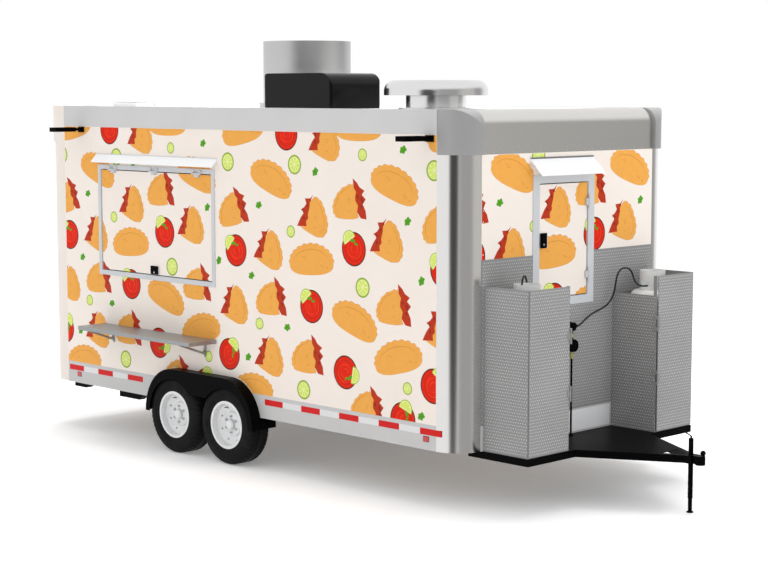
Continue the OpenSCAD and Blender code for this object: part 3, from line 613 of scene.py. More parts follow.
def plywood():
    """Sealed plywood: long brown grain lines along the trailer with slow changes of tone."""
    made, tree, shader, place = new_tree("sealed_plywood")
    grain = noise(tree, place, 9, 4.0, (40, 1, 1), 0.65)
    cloud = noise(tree, place, 500, 2.0, (4, 1, 1))
    dark, light = linear("#8A6F4C"), linear("#B4936A")
    wood = blend_colours(tree, spread(tree, grain, 0, 1), dark, light)
    wood = blend_colours(tree, spread(tree, cloud, 0, 0.4), wood, linear("#70583B"))
    set_shader(
        tree,
        shader,
        {"Coat Weight": 0.2, "Coat Roughness": 0.3},
        {
            "Base Color": wood,
            "Roughness": spread(tree, grain, 0.45, 0.6),
            "Normal": bump(tree, grain, 0.3),
        },
    )
    return made


def tyre_rubber():
    """Cured black rubber: nearly black, dull, with a fine mould texture and greyer tread."""
    made, tree, shader, place = new_tree("moulded_tyre_rubber")
    fine = noise(tree, place, 1.5, 3.0)
    dust = noise(tree, place, 90, 3.0)
    colour = blend_colours(tree, spread(tree, dust, 0, 1), linear("#141414"), linear("#222222"))
    set_shader(
        tree,
        shader,
        {"Specular IOR Level": 0.06},
        {
            "Base Color": colour,
            "Roughness": spread(tree, dust, 0.55, 0.72),
            "Normal": bump(tree, fine, 0.08),
        },
    )
    return made


# What each finish is, in a maker's words: colour, roughness, metallic and its grain.
FINISHES = {
    # Two-pack enamel over steel plate: near black, dull, faint orange peel.
    "black_chassis_enamel": (
        "#0C0C0D", 0.45, 0.0,
        {"grain_mm": 5, "grain_depth_mm": 0.05, "specular": 0.03},
    ),
    # Semi-gloss black enamel on square tube, a little smoother than the chassis.
    "semi_gloss_black_enamel": (
        "#060607", 0.4, 0.0,
        {"grain_mm": 8, "grain_depth_mm": 0.05, "specular": 0.03},
    ),
    # Gloss black stove enamel on pressed steel fenders.
    "gloss_black_enamel": (
        "#050506", 0.34, 0.0,
        {"grain_mm": 10, "grain_depth_mm": 0.04, "specular": 0.03},
    ),
    # Mill-finish aluminium sheet: pale grey with a dull sheen and a fine grain.
    "mill_finish_sheet": (
        "#CACACA", 0.5, 0.0,
        {"grain_mm": 2, "grain_depth_mm": 0.02, "vary": 0.02, "specular": 0.2},
    ),
    # Cream body enamel on the rear corner posts.
    "cream_enamel": ("#EFE6DE", 0.4, 0.0, {"grain_mm": 8, "grain_depth_mm": 0.03, "vary": 0.01}),
    # Light grey powder coat on extruded rail.
    "rail_powder_coat": (
        "#CFCFCF", 0.5, 0.0,
        {"grain_mm": 2.5, "grain_depth_mm": 0.04, "vary": 0.02},
    ),
    # White elastomer roof coating: rolled on, matt, with a pebbled skin.
    "white_roof_coating": (
        "#E6E7E7", 0.75, 0.0,
        {"grain_mm": 14, "grain_depth_mm": 0.6, "vary": 0.03},
    ),
    # Blue-grey powder coat on the hatch frames.
    "frame_powder_coat": (
        "#CDD0D4", 0.45, 0.0,
        {"grain_mm": 2.5, "grain_depth_mm": 0.04, "vary": 0.02},
    ),
    # Gloss white enamel on folded sheet hoods.
    "gloss_white_enamel": (
        "#F3F4F6", 0.32, 0.0,
        {"grain_mm": 9, "grain_depth_mm": 0.03, "vary": 0.01},
    ),
    # Spark-eroded ABS: black, dull, with a tight leather-like grain.
    "black_abs": ("#030303", 0.5, 0.0, {"grain_mm": 1.6, "grain_depth_mm": 0.08, "specular": 0.03}),
    # Polished black ABS of the roof shroud: deep gloss with faint flow marks.
    "gloss_black_abs": (
        "#060607", 0.2, 0.0,
        {"grain_mm": 30, "grain_depth_mm": 0.1, "vary": 0.08, "specular": 0.2},
    ),
    # Silver-white wheel enamel sprayed over pressed steel.
    "wheel_enamel": ("#E9EAEB", 0.3, 0.1, {"grain_mm": 3, "grain_depth_mm": 0.03, "vary": 0.02}),
    # Hot-dip galvanised steel: grey spangles a few centimetres wide.
    "galvanised_steel": (
        "#9B9EA0", 0.42, 0.85,
        {"grain_mm": 14, "grain_depth_mm": 0.03, "vary": 0.12},
    ),
    # Bright zinc plate on bolts, nuts and rivets.
    "zinc_plate": ("#C8CACC", 0.3, 0.9, {"grain_mm": 2, "grain_depth_mm": 0.02, "vary": 0.05}),
    # White stove enamel on the gas bottles.
    "bottle_enamel": ("#EEF0EF", 0.35, 0.0, {"grain_mm": 6, "grain_depth_mm": 0.05, "vary": 0.015}),
    # Yellow brass gas fittings with a greenish tint, turned and left bright.
    "yellow_brass": ("#C6C878", 0.3, 0.75, {"grain_mm": 1.2, "grain_depth_mm": 0.02, "vary": 0.06}),
    # Black powder coat on the regulators and the riser pipe.
    "black_powder_coat": (
        "#050505", 0.42, 0.0,
        {"grain_mm": 1.5, "grain_depth_mm": 0.05, "specular": 0.03},
    ),
    # White ABS of the roof vent.
    "white_abs": ("#ECEDED", 0.4, 0.0, {"grain_mm": 2, "grain_depth_mm": 0.04, "vary": 0.015}),
    # Black EPDM rubber of seals and mud flaps.
    "seal_rubber": ("#161617", 0.65, 0.0, {"grain_mm": 2, "grain_depth_mm": 0.06}),
    # Dark grey anodised drip strip over the hatches.
    "drip_strip_anodised": (
        "#7E8082", 0.4, 0.6,
        {"grain_mm": 2, "stretch": (20, 20, 1), "vary": 0.04},
    ),
    # Sand-cast aluminium corner, sanded and lacquered: grey with a broad sheen.
    "sanded_cast_aluminium": (
        "#A9A9A9", 0.5, 0.35,
        {"grain_mm": 4, "grain_depth_mm": 0.08, "vary": 0.03},
    ),
    # Bright aluminium tread plate: matt ground between the raised bars.
    "aluminium_tread_plate": (
        "#909090", 0.45, 0.0,
        {"grain_mm": 3, "grain_depth_mm": 0.06, "vary": 0.05, "specular": 0.3},
    ),
    # The raised bars of the tread plate: much lighter than the ground, a painted highlight on their
    # ridges.
    "tread_bars_painted_highlight": (
        "#E2E2E2", 0.25, 0.1,
        {"grain_mm": 3, "grain_depth_mm": 0.02, "vary": 0.05},
    ),
}

# Metals with lines: colour, roughness, how far the lines stretch along each axis, the rest.
BRUSHED = {
    # 430 stainless corner post, drawn lengthwise: a soft mirror with upright lines.
    "brushed_stainless": ("#E8E6E4", 0.16, (1, 1, 60), {}),
    # Rolled aluminium header: bright, with lines across the trailer.
    "rolled_aluminium_header": ("#DEDCD8", 0.22, (1, 60, 1), {}),
    # Brushed stainless shelf, lines along its length, dulled by use.
    "brushed_shelf_steel": ("#A3A5A6", 0.4, (60, 1, 1), {"metallic": 0.7}),
    # Spun aluminium of the exhaust stack: lines run round, so they are level rings.
    "spun_aluminium": ("#C6C6C6", 0.42, (40, 40, 1), {}),
    # Buffed aluminium cap of the round fan: almost a mirror.
    "buffed_aluminium": ("#E4E4E4", 0.2, (30, 30, 1), {"depth_mm": 0.005}),
}


def stock(name):
    """A finish from the tables, made once."""
    found = bpy.data.materials.get(name)
    if found:
        return found
    if name in BRUSHED:
        colour, rough, stretch, more = BRUSHED[name]
        return brushed_metal(name, colour, rough, stretch, **more)
    colour, rough, metallic, more = FINISHES[name]
    return finish(name, colour, rough, metallic, **more)


# ---- Sizes and colours that a user would change --------------------------------


def distance(name, description, default):
    return FloatProperty(
        name=name, description=description, default=default, subtype="DISTANCE", unit="LENGTH"
    )


def colour(name, description, code):
    return FloatVectorProperty(
        name=name, description=description, default=linear(code), size=4, subtype="COLOR"
    )


class TrailerSizes(bpy.types.PropertyGroup):
    rivet: distance("Rivet radius", "Radius of the rivet heads along the seams", 0.005)
    cap_pitch: distance("Header rivet pitch", "Distance between rivets on the header", 0.11)
    tile: distance("Print repeat", "Width after which the wrap's print repeats", 2.43)
    film: distance("Ink layer", "Height of one layer of the print", 0.00015)
    bar_pitch: distance("Tread bar pitch", "Distance between bars of the tread plate", 0.024)
    bar_length: distance("Tread bar length", "Length of one raised bar", 0.0185)
    tape_length: distance("Tape block", "Length of one red block of the tape", 0.228)
    tape_width: distance("Tape width", "Width of the reflective tape", 0.05)
    groove: distance("Tread groove depth", "Depth of the grooves round a tyre", 0.008)
    pitches: IntProperty(
        name="Tread pitches",
        description="Blocks round a tyre's shoulder",
        default=48,
        min=24,
        max=72,
    )
    hose: distance("Hose diameter", "Outer diameter of the gas hoses", 0.015)


class TrailerColours(bpy.types.PropertyGroup):
    cream: colour("Wrap ground", "Ground colour of the printed wrap", "#F4EAE1")
    pastry: colour("Pastry", "Baked pastry of the print", "#F3AE51")
    crimp: colour("Crimp line", "Darker line inside the pastry's edge", "#D68B33")
    filling: colour("Filling", "Filling that shows in a bitten pastry", "#BE3617")
    sauce: colour("Sauce", "Red sauce in the bowls", "#E32204")
    bowl: colour("Bowl rim", "Rim of the sauce bowls", "#5E2410")
    rind: colour("Lime rind", "Rind of the lime slices", "#A9CB34")
    lime: colour("Lime flesh", "Flesh of the lime slices", "#D8EB6A")
    leaf: colour("Leaf", "Green herb leaves", "#55A51A")


# ---- Places taken from the frame -------------------------------------------------

JOINTS = {j["name"]: np.array(j["pos_m"]) for j in frame["record"]["behaviour"]["joints"]}

# The gap round every hatch and door, and the widths of the rings on the walls outside it.
DOOR_GAP = 0.009
SIDE_RING = 0.042
FRONT_RING = 0.076
FRONT_RING_H = 0.066
REAR_RING = 0.045


def span(node, axis, origin=0.0):
    """Lowest and highest value of a node along an axis, counted from an origin."""
    low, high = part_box(node)
    return low[axis] - origin, high[axis] - origin


# The closed panels' edges: (left, right, low, high) as seen from outside.
SIDE_X = span("side_hatch", 0, FRONT)
SIDE_H = (span("side_hatch", 2, GROUND)[0], JOINTS["side_hatch_lift"][2] - GROUND - DOOR_GAP)
FRONT_Y = (span("front_hatch", 1)[0], JOINTS["front_hatch_swing"][1] - DOOR_GAP)
FRONT_H = span("front_hatch", 2, GROUND)
REAR_Y = (JOINTS["rear_door_swing"][1] + DOOR_GAP, span("rear_door", 1)[1])
REAR_H = span("rear_door", 2, GROUND)
AXLES = sorted({round(float(JOINTS[k][0]) - FRONT, 4) for k in JOINTS if k.endswith("_roll")})
AXLE_H = float(JOINTS["front_right_roll"][2]) - GROUND
TYRE_Y = -float(JOINTS["front_right_roll"][1])
GUARD_TOP = span("stone_guard", 2, GROUND)[1]
GUARD_OUT = span("stone_guard", 0, FRONT)[1]
DECK_H = SKIRT_LOW

# The fenders' top, and how far their arches reach beyond the axles at the axles' height.
FENDER_TOP = span("fenders", 2, GROUND)[1]
FENDER_REACH = 0.375

# The lockers' panels: outer face, inner face, front edge, top and how much lower the
# inner panel is; then the door's outer face, its edge at the hinge and its foot's rise.
LOCKER_OUT = -span("gas_lockers", 1)[0]
LOCKER_IN = 0.546
LOCKER_FRONT = 0.45
LOCKER_TOP = 1.72
LOCKER_STEP = 0.162
DOOR_FACE = 0.462
DOOR_IN = 0.558
DOOR_UP = 0.008

WHEELS = ("wheel_front_right", "wheel_rear_right", "wheel_front_left", "wheel_rear_left")


# ---- Stage ---------------------------------------------------------------------

# The floor's glow for the camera, the world's level on matt surfaces and the lamps' watts.
FLOOR_GLOW = 0.2
WORLD_LEVEL = 0.88
KEY_WATTS = 800
FILL_WATTS = 60
FLOOR_REACH = 60.0

# The camera's place, its turn in degrees and its focal length in millimetres.
VIEW_PLACE = (8.008, -11.281, 2.785)
VIEW_TURN = (90 - 6.18, 0.0, 45.35)
VIEW_LENS = 85.63

# What metal mirrors, from the widest zone to the narrowest: the zone's middle, the dot
# products where it starts and is full, and its colour. The last whitens all that is high.
MIRRORED = (
    ((0.966, 0.259, 0.0), 0.26, 0.64, (0.4, 0.4, 0.4, 1)),
    ((0.883, 0.469, 0.0), 0.883, 0.978, (0.62, 0.61, 0.59, 1)),
    ((0.438, -0.899, 0.0), 0.927, 0.985, (0.06, 0.06, 0.06, 1)),
    ((0.0, 0.0, 1.0), 0.15, 0.5, (1, 1, 1, 1)),
)


def flat_stage_material(name, code):
    """Matt white studio floor: a little camera-only glow lifts it to the white backdrop."""
    made, tree, shader, place = new_tree(name)
    mottle = noise(tree, place, 900, 2.0)
    base = linear(code)
    set_shader(
        tree,
        shader,
        {"Roughness": 0.9, "Specular IOR Level": 0.1, "Emission Color": (1, 1, 1, 1)},
        {
            "Base Color": blend_colours(tree, spread(tree, mottle, 0, 1), base, linear("#FBFBFB")),
            "Emission Strength": add_node(
                tree,
                "ShaderNodeMath",
                {"operation": "MULTIPLY", 1: FLOOR_GLOW},
                {0: add_node(tree, "ShaderNodeLightPath").outputs["Is Camera Ray"]},
            ).outputs["Value"],
        },
    )
    return made


def toward_zone(tree, direction, start, end):
    """How far a ray points into a zone: 0 where its dot product with the direction is
    start, 1 where it is end."""
    ray = add_node(tree, "ShaderNodeTexCoord").outputs["Generated"]
    facing = add_node(
        tree, "ShaderNodeVectorMath", {"operation": "DOT_PRODUCT", 1: direction}, {0: ray}
    ).outputs["Value"]
    return add_node(
        tree,
        "ShaderNodeMapRange",
        {"From Min": start, "From Max": end, "interpolation_type": "SMOOTHSTEP"},
        {"Value": facing},
    ).outputs["Result"]


def build_world():
    """White studio: plain light for matt surfaces, white for the camera's own rays, and
    for glossy rays the zones of MIRRORED low down in front, so metal gets its bands."""
    world = bpy.data.worlds.new("studio")
    bpy.context.scene.world = world
    world.use_nodes = True
    tree = world.node_tree
    tree.nodes.clear()
    paths = add_node(tree, "ShaderNodeLightPath").outputs
    shown = (1, 1, 1, 1)
    for direction, start, end, tone in MIRRORED:
        shown = blend_colours(tree, toward_zone(tree, direction, start, end), shown, tone)
    shown = blend_colours(tree, paths["Is Glossy Ray"], (1, 1, 1, 1), shown)
    seen = add_node(
        tree,
        "ShaderNodeMath",
        {"operation": "MAXIMUM"},
        {0: paths["Is Camera Ray"], 1: paths["Is Glossy Ray"]},
    ).outputs["Value"]
    level = spread(tree, seen, WORLD_LEVEL, 1.0, 0, 1)
    back = add_node(tree, "ShaderNodeBackground", None, {"Color": shown, "Strength": level})
    add_node(tree, "ShaderNodeOutputWorld", None, {"Surface": back.outputs["Background"]})


def area_lamp(name, place, aim, width, height, watts):
    """A rectangular lamp aimed at a point, kept out of mirror reflections."""
    lamp = bpy.data.lights.new(name, "AREA")
    lamp.shape = "RECTANGLE"
    lamp.size, lamp.size_y, lamp.energy = width, height, watts
    made = bpy.data.objects.new(name, lamp)
    made.location = place
    made.rotation_euler = (as_vector(aim) - as_vector(place)).to_track_quat("-Z", "Y").to_euler()
    made.visible_glossy = False
    bpy.context.scene.collection.objects.link(made)


def as_vector(point):
    return Vector([float(v) for v in point])


class TRAILER_OT_stage(bpy.types.Operator):
    """Sets the white floor, the studio light and the camera"""

    bl_idname = "trailer.stage"
    bl_label = "Stage"

    def execute(self, context):
        scene = context.scene
        scene.view_settings.view_transform = "Standard"
        build_world()
        area_lamp("overhead_softbox", at(-3.2, 1.2, 9.5), at(-2.6, 0, 0), 9, 6, KEY_WATTS)
        area_lamp("front_fill", at(7.5, 1.5, 2.4), at(0, 0, 1.2), 3, 3, FILL_WATTS)
        floor = bpy.data.meshes.new("studio_floor")
        signs = ((-1, -1), (1, -1), (1, 1), (-1, 1))
        corners = [(x * FLOOR_REACH, y * FLOOR_REACH, GROUND) for x, y in signs]
        floor.from_pydata(corners, [], [(0, 1, 2, 3)])
        floor.materials.append(flat_stage_material("matt_white_floor", "#F6F6F6"))
        made = bpy.data.objects.new("studio_floor", floor)
        scene.collection.objects.link(made)
        made.visible_glossy = False
        lens = bpy.data.cameras.new("view")
        lens.lens = VIEW_LENS
        lens.clip_end = 200
        view = bpy.data.objects.new("view", lens)
        view.location = VIEW_PLACE
        view.rotation_euler = [math.radians(v) for v in VIEW_TURN]
        scene.collection.objects.link(view)
        scene.camera = view
        return {"FINISHED"}


# ---- Gas hoses -------------------------------------------------------------------

# Routes from each bottle's valve to the regulator, in metres from the front wall's foot.
HOSE_ROUTES = {
    "left": [
        (0.226, 0.715, 1.612), (0.226, 0.690, 1.612), (0.222, 0.664, 1.613), (0.208, 0.643, 1.618),
        (0.186, 0.632, 1.630), (0.165, 0.630, 1.652), (0.150, 0.629, 1.682), (0.140, 0.624, 1.715),
        (0.132, 0.610, 1.742), (0.124, 0.588, 1.757), (0.116, 0.560, 1.762), (0.108, 0.532, 1.757),
        (0.101, 0.508, 1.741), (0.095, 0.492, 1.713), (0.090, 0.483, 1.680), (0.086, 0.478, 1.640),
        (0.082, 0.474, 1.600), (0.077, 0.466, 1.560), (0.070, 0.450, 1.520), (0.062, 0.423, 1.484),
        (0.056, 0.385, 1.457), (0.053, 0.330, 1.438), (0.053, 0.265, 1.422), (0.053, 0.200, 1.402),
        (0.053, 0.140, 1.374), (0.053, 0.090, 1.346), (0.053, 0.050, 1.328), (0.053, 0.0253, 1.328),
    ],
    "right": [
        (0.226, -0.850, 1.6223), (0.226, -0.850, 1.660), (0.224, -0.845, 1.715),
        (0.216, -0.830, 1.762), (0.203, -0.803, 1.790), (0.187, -0.770, 1.796),
        (0.170, -0.738, 1.780), (0.152, -0.707, 1.752), (0.137, -0.683, 1.706),
        (0.122, -0.662, 1.665), (0.104, -0.634, 1.640), (0.090, -0.595, 1.622),
        (0.078, -0.545, 1.600), (0.068, -0.490, 1.560), (0.060, -0.430, 1.510),
        (0.056, -0.370, 1.460), (0.054, -0.310, 1.415), (0.053, -0.250, 1.380),
        (0.053, -0.190, 1.350), (0.053, -0.130, 1.328), (0.053, -0.0953, 1.328),
    ],
}


def hose_rubber():
    """Extruded black rubber hose: dull, with faint cross marks from its cloth wrap."""
    made, tree, shader, place = new_tree("wrapped_hose_rubber")
    marks = noise(tree, place, 4, 3.0)
    set_shader(
        tree,
        shader,
        {"Specular IOR Level": 0.5},
        {
            "Base Color": blend_colours(
                tree, spread(tree, marks, 0, 1), linear("#101011"), linear("#1D1D1E")
            ),
            "Roughness": spread(tree, marks, 0.42, 0.55),
            "Normal": bump(tree, marks, 0.15),
        },
    )
    return made


class TRAILER_OT_hoses(bpy.types.Operator):
    """Runs the two gas hoses from the bottles to the regulator"""

    bl_idname = "trailer.hoses"
    bl_label = "Gas hoses"

    def execute(self, context):
        rubber = hose_rubber()
        for side, route in HOSE_ROUTES.items():
            path = smooth_path([at(*p) for p in route], 4)
            name = "hose_" + side
            hose = Piece(name, "trailer", "hose_rubber").add(tube(path, size().hose / 2, 12))
            made = hose.make(rubber, smooth=60, replaces=("gas_" + name,))
        return {"FINISHED"}


# ---- Finishes on the frame's own nodes -------------------------------------------


def wall_films():
    """The wrap's ground on each wall and door, with its liner inside."""
    right = film_and_liner("wrap_right", "Y", -HALF, True)
    left = film_and_liner("wrap_left", "Y", HALF, False)
    front = film_and_liner("wrap_front", "X", FRONT, False)
    rear = film_and_liner("wrap_rear", "X", REAR + FRONT, True)
    return {
        "right_wall": right,
        "side_hatch": right,
        "left_wall": left,
        "front_wall": front,
        "front_hatch": front,
        "rear_wall": rear,
        "rear_door": rear,
    }


# Which stock finish each node of the frame takes.
NODE_FINISHES = {
    "black_chassis_enamel": ("chassis", "axles", "suspension", "stabilisers"),
    "semi_gloss_black_enamel": ("coupler", "tongue_jack", "tongue_frame"),
    "gloss_black_enamel": ("fenders",),
    "mill_finish_sheet": ("skirts",),
    "cream_enamel": ("rear_posts",),
    "rail_powder_coat": ("top_rails",),
    "white_roof_coating": ("roof",),
    "frame_powder_coat": ("opening_frames",),
    "gloss_white_enamel": ("rain_hoods",),
    "black_abs": ("light_bars",),
    "gloss_black_abs": ("air_conditioner",),
    "wheel_enamel": WHEELS,
    "bottle_enamel": ("gas_bottles",),
    "black_powder_coat": ("gas_regulators",),
    "white_abs": ("roof_vent", "vent_lid"),
    "galvanised_steel": ("stack_fan",),
    "sanded_cast_aluminium": ("front_castings",),
    "aluminium_tread_plate": (
        "stone_guard",
        "gas_lockers",
        "locker_door_right",
        "locker_door_left",
    ),
    "brushed_stainless": ("front_posts",),
    "rolled_aluminium_header": ("front_cap",),
    "brushed_shelf_steel": ("serving_shelf",),
    "spun_aluminium": ("exhaust_stack",),
    "buffed_aluminium": ("round_fan",),
}


class TRAILER_OT_finishes(bpy.types.Operator):
    """Gives every node of the frame its finish"""

    bl_idname = "trailer.finishes"
    bl_label = "Finishes"

    def execute(self, context):
        chosen = {node: stock(name) for name, nodes in NODE_FINISHES.items() for node in nodes}
        chosen.update(wall_films(), floor=plywood())
        for node, material in chosen.items():
            mesh = frame["nodes"][node].data
            mesh.materials.clear()
            mesh.materials.append(material)
        return {"FINISHED"}


# ---- Printed wrap ------------------------------------------------------------------

# Where each motif stands on one repeat of the print: right and up in metres, and degrees.
HALF_MOONS = (
    (0.25, 2.85, 12), (0.60, 2.45, -20), (2.05, 2.45, -18), (1.10, 1.80, 4),
    (1.60, 1.35, -18), (2.10, 1.10, 14), (1.65, 2.90, 0), (0.35, 0.65, 5),
)
BITTEN_LEFT = (
    (1.26, 2.80, 0), (1.12, 2.18, 0), (0.57, 1.88, -2),
    (1.97, 2.03, 2), (0.12, 1.38, 2), (0.57, 0.98, 0),
)
BITTEN_RIGHT = (
    (0.08, 2.20, 14), (1.52, 2.33, 4), (0.57, 1.48, 4),
    (2.02, 1.53, 2), (1.02, 1.04, 2), (1.72, 0.69, 5),
)
BOWLS = (
    (0.80, 2.85, 0), (0.15, 1.85, 10), (1.60, 1.95, -8), (1.10, 1.45, 0),
    (0.05, 0.95, -75), (1.50, 0.95, -140), (2.15, 0.65, -60),
)
LIMES = ((0.05, 2.60, 0), (0.90, 2.60, 15), (1.70, 1.65, 8), (1.00, 0.75, 20))
SMALL_LIMES = ((1.70, 2.70, 0), (0.85, 2.05, 12), (0.45, 1.25, 5), (2.20, 0.90, 20))
LEAVES = (
    (2.15, 2.75, 0), (1.15, 2.55, 20), (0.45, 2.25, -10), (2.20, 2.20, 15), (0.35, 1.65, 0),
    (2.35, 1.75, 30), (0.80, 1.25, -15), (0.30, 0.95, 10), (2.35, 0.70, 0),
)


def ellipse(width, height, start=0, end=360, steps=32, middle=(0, 0)):
    """Points on an ellipse: middle plus (width cos t, height sin t), t in degrees."""
    t = np.radians(np.linspace(start, end, steps, endpoint=abs(end - start) < 360))
    return np.column_stack([width * np.cos(t), height * np.sin(t)]) + middle


def stroke(line, width):
    """A line of points drawn as a strip: the line moved to both sides along its normal."""
    line = np.asarray(line, float)
    along = np.gradient(line, axis=0)
    along /= np.linalg.norm(along, axis=1)[:, None]
    side = np.column_stack([-along[:, 1], along[:, 0]]) * width / 2
    taper = np.sin(np.linspace(0.25, math.pi - 0.25, len(line)))[:, None]
    return np.vstack([line + side * taper, (line - side * taper)[::-1]])


def scalloped(width, height, start, end, lobes, steps=60):
    """An ellipse's arc whose radius swells by a row of round lobes: 1 + k |sin|."""
    t = np.radians(np.linspace(start, end, steps))
    lobe = np.abs(np.sin(lobes * (t - t[0]) * math.pi / (t[-1] - t[0])))
    swell = 1 + 0.075 * lobe * np.sin(np.clip(t, 0, math.pi)) ** 0.25
    return np.column_stack([width * np.cos(t), height * np.sin(t)]) * swell[:, None]


def flat_belly(width, height, start, end, steps=24):
    """The lower edge of a pastry: a superellipse, (cos t, sin t) to the power 0.75."""
    t = np.radians(np.linspace(start, end, steps))
    c, s = np.cos(t), np.sin(t)
    return np.column_stack(
        [width * np.sign(c) * np.abs(c) ** 0.75, height * np.sign(s) * np.abs(s) ** 0.75]
    )


# Width of the line drawn inside a pastry's edge.
CRIMP_LINE = 0.0045


def crust_marks(places, colour):
    """Short curved strokes on a crust, at (x, y, degrees)."""
    return [
        (stroke(ellipse(0.024, 0.01, 40 + turn, 130 + turn, 8, (x, y)), 0.004), colour)
        for x, y, turn in places
    ]


def half_moon():
    """A whole pastry: scalloped upper edge, flat belly, crimp line, crust marks."""
    width, top, low = 0.262, 0.158, 0.092
    crust = np.vstack(
        [scalloped(width, top, 0, 180, 11, 100), flat_belly(width, low, 180, 360)[1:-1]]
    )
    colours = paint()
    line = ellipse(0.84 * width, 0.76 * top, 8, 172, 30, (0, -0.002))
    marks = ((-0.09, 0.05, 20), (-0.07, 0.038, 12), (0.11, -0.02, -25), (0.13, -0.032, -20))
    return [
        (crust * (1.008, 1.014), colours.crimp),
        (crust, colours.pastry),
        (stroke(line, CRIMP_LINE), colours.crimp),
        *crust_marks(marks, colours.crimp),
        (ellipse(0.007, 0.005, steps=10, middle=(0.19, -0.035)), colours.crimp),
    ]


# A bitten pastry's dome, belly and torn edge, and the filling that spills past it, in
# metres from its middle: one kind is bitten on the left, the other on the right.
BITE_LEFT = {
    "dome": ((0.095, -0.157), (0.145, -0.128), (0.167, -0.08), (0.168, -0.022), (0.145, 0.036),
             (0.117, 0.098), (0.073, 0.144), (0.014, 0.163)),
    "torn": ((-0.034, 0.121), (-0.038, 0.08), (-0.058, 0.023), (-0.054, -0.01), (-0.08, -0.035),
             (-0.076, -0.076)),
    "belly": ((-0.15, -0.08), (-0.098, -0.107), (-0.02, -0.137), (0.045, -0.157)),
    "spill": ((0.008, 0.186), (-0.03, 0.152), (-0.095, 0.15), (-0.078, 0.106), (-0.105, 0.078),
              (-0.145, 0.058), (-0.108, 0.034), (-0.146, -0.007), (-0.172, -0.046), (-0.19, -0.08)),
}
BITE_RIGHT = {
    "dome": ((0.077, 0.134), (0.035, 0.133), (-0.045, 0.108), (-0.105, 0.066), (-0.15, 0.012),
             (-0.17, -0.04), (-0.166, -0.09), (-0.14, -0.122)),
    "torn": ((0.127, -0.136), (0.112, -0.09), (0.126, -0.04), (0.098, 0.0), (0.1, 0.035),
             (0.112, 0.066), (0.088, 0.1)),
    "belly": ((-0.1, -0.134), (-0.03, -0.143), (0.06, -0.145)),
    "spill": ((0.08, 0.178), (0.128, 0.14), (0.154, 0.104), (0.208, 0.074), (0.176, 0.044),
              (0.218, 0.006), (0.182, -0.032), (0.21, -0.085), (0.216, -0.152), (0.15, -0.142)),
}


def darker(ink, share):
    """An ink with its colour scaled down and its alpha kept whole."""
    return (*[v * share for v in ink[:3]], 1.0)


def bitten(parts, left):
    """A pastry bitten at one end: a scalloped dome along a smooth line, a belly, a torn
    edge, and jagged filling outside it.

    The dome's point moves out along its normal by scallop |sin t|, for seven lobes."""
    scallop, lobes = 0.009, 7
    dome = np.array(smooth_path([(*p, 0.0) for p in parts["dome"]], 8))[:, :2]
    along = np.gradient(dome, axis=0)
    normal = np.column_stack([along[:, 1], -along[:, 0]]) / np.linalg.norm(along, axis=1)[:, None]
    lobe = np.abs(np.sin(np.linspace(0, lobes * math.pi, len(dome))))[:, None]
    dome = dome + (1 if left else -1) * scallop * normal * lobe
    torn, belly, spill = (np.array(parts[key]) for key in ("torn", "belly", "spill"))
    crust = np.vstack([dome, torn, belly] if left else [dome, belly, torn])
    filling = np.vstack([spill, torn[::-1] if left else torn[1:]])
    colours = paint()
    shapes = [(filling, colours.filling)]
    outer = spill[1:-2:2]
    for k, place in enumerate(outer * 0.6 + torn[np.arange(len(outer)) % len(torn)] * 0.4):
        bean = ellipse(0.01, 0.015, 25 * k, 360 + 25 * k, 10, place)
        shapes.append((bean, darker(colours.filling, 0.6)))
    shapes += [
        (crust * 1.012, colours.crimp),
        (crust, colours.pastry),
        (stroke(dome[3:-3] * 0.8, CRIMP_LINE), colours.crimp),
    ]
    marks = ((0.03, -0.02, 10), (0.04, 0.0, 30), (0.02, -0.09, -10))
    return shapes + crust_marks(marks, colours.crimp)


def sauce_bowl():
    """A round bowl of sauce: rim, swirls, a leaf and a lime wedge on the edge."""
    colours = paint()
    bright = (min(1.0, colours.sauce[0] * 1.3), 0.06, 0.01, 1.0)
    shapes = [
        (ellipse(0.138, 0.138, steps=36), colours.bowl),
        (ellipse(0.127, 0.127, steps=36), colours.sauce),
        (ellipse(0.1, 0.1, steps=30), darker(colours.sauce, 0.72)),
        (ellipse(0.094, 0.094, steps=30), colours.sauce),
    ]
    swirls = ((0.085, -60, 60), (0.066, 150, 300), (0.046, -40, 90), (0.03, 120, 260))
    for radius, start, end in swirls:
        shapes.append((stroke(ellipse(radius, radius, start, end, 16), 0.006), bright))
    wedge = (-0.062, 0.07)
    shapes += [
        (ellipse(0.072, 0.072, 28, 232, 20, wedge), colours.rind),
        (ellipse(0.064, 0.064, 28, 232, 20, wedge), linear("#EDF3A6")),
    ]
    for start in (36, 84, 132, 180):
        flesh = np.vstack([[wedge], ellipse(0.055, 0.055, start, start + 40, 6, wedge)])
        shapes.append((flesh, colours.lime))
    shapes.append((ellipse(0.03, 0.013, steps=12, middle=(-0.02, 0.065)), colours.leaf))
    shapes.append((ellipse(0.02, 0.01, steps=12, middle=(0.022, 0.045)), colours.leaf))
    return shapes


def lime_slice(radius):
    """A lime slice: dark edge, rind, pale pith and eight wedges of flesh."""
    colours = paint()
    shapes = [
        (ellipse(radius, radius), darker(colours.rind, 0.45)),
        (ellipse(0.93 * radius, 0.93 * radius), colours.rind),
        (ellipse(0.8 * radius, 0.8 * radius), linear("#EEF6B4")),
    ]
    for start in range(0, 360, 45):
        flesh = ellipse(0.72 * radius, 0.72 * radius, start + 5, start + 40, 6)
        tip = flesh.mean(0) * 0.14
        shapes.append((np.vstack([[tip], flesh]), colours.lime))
    return shapes


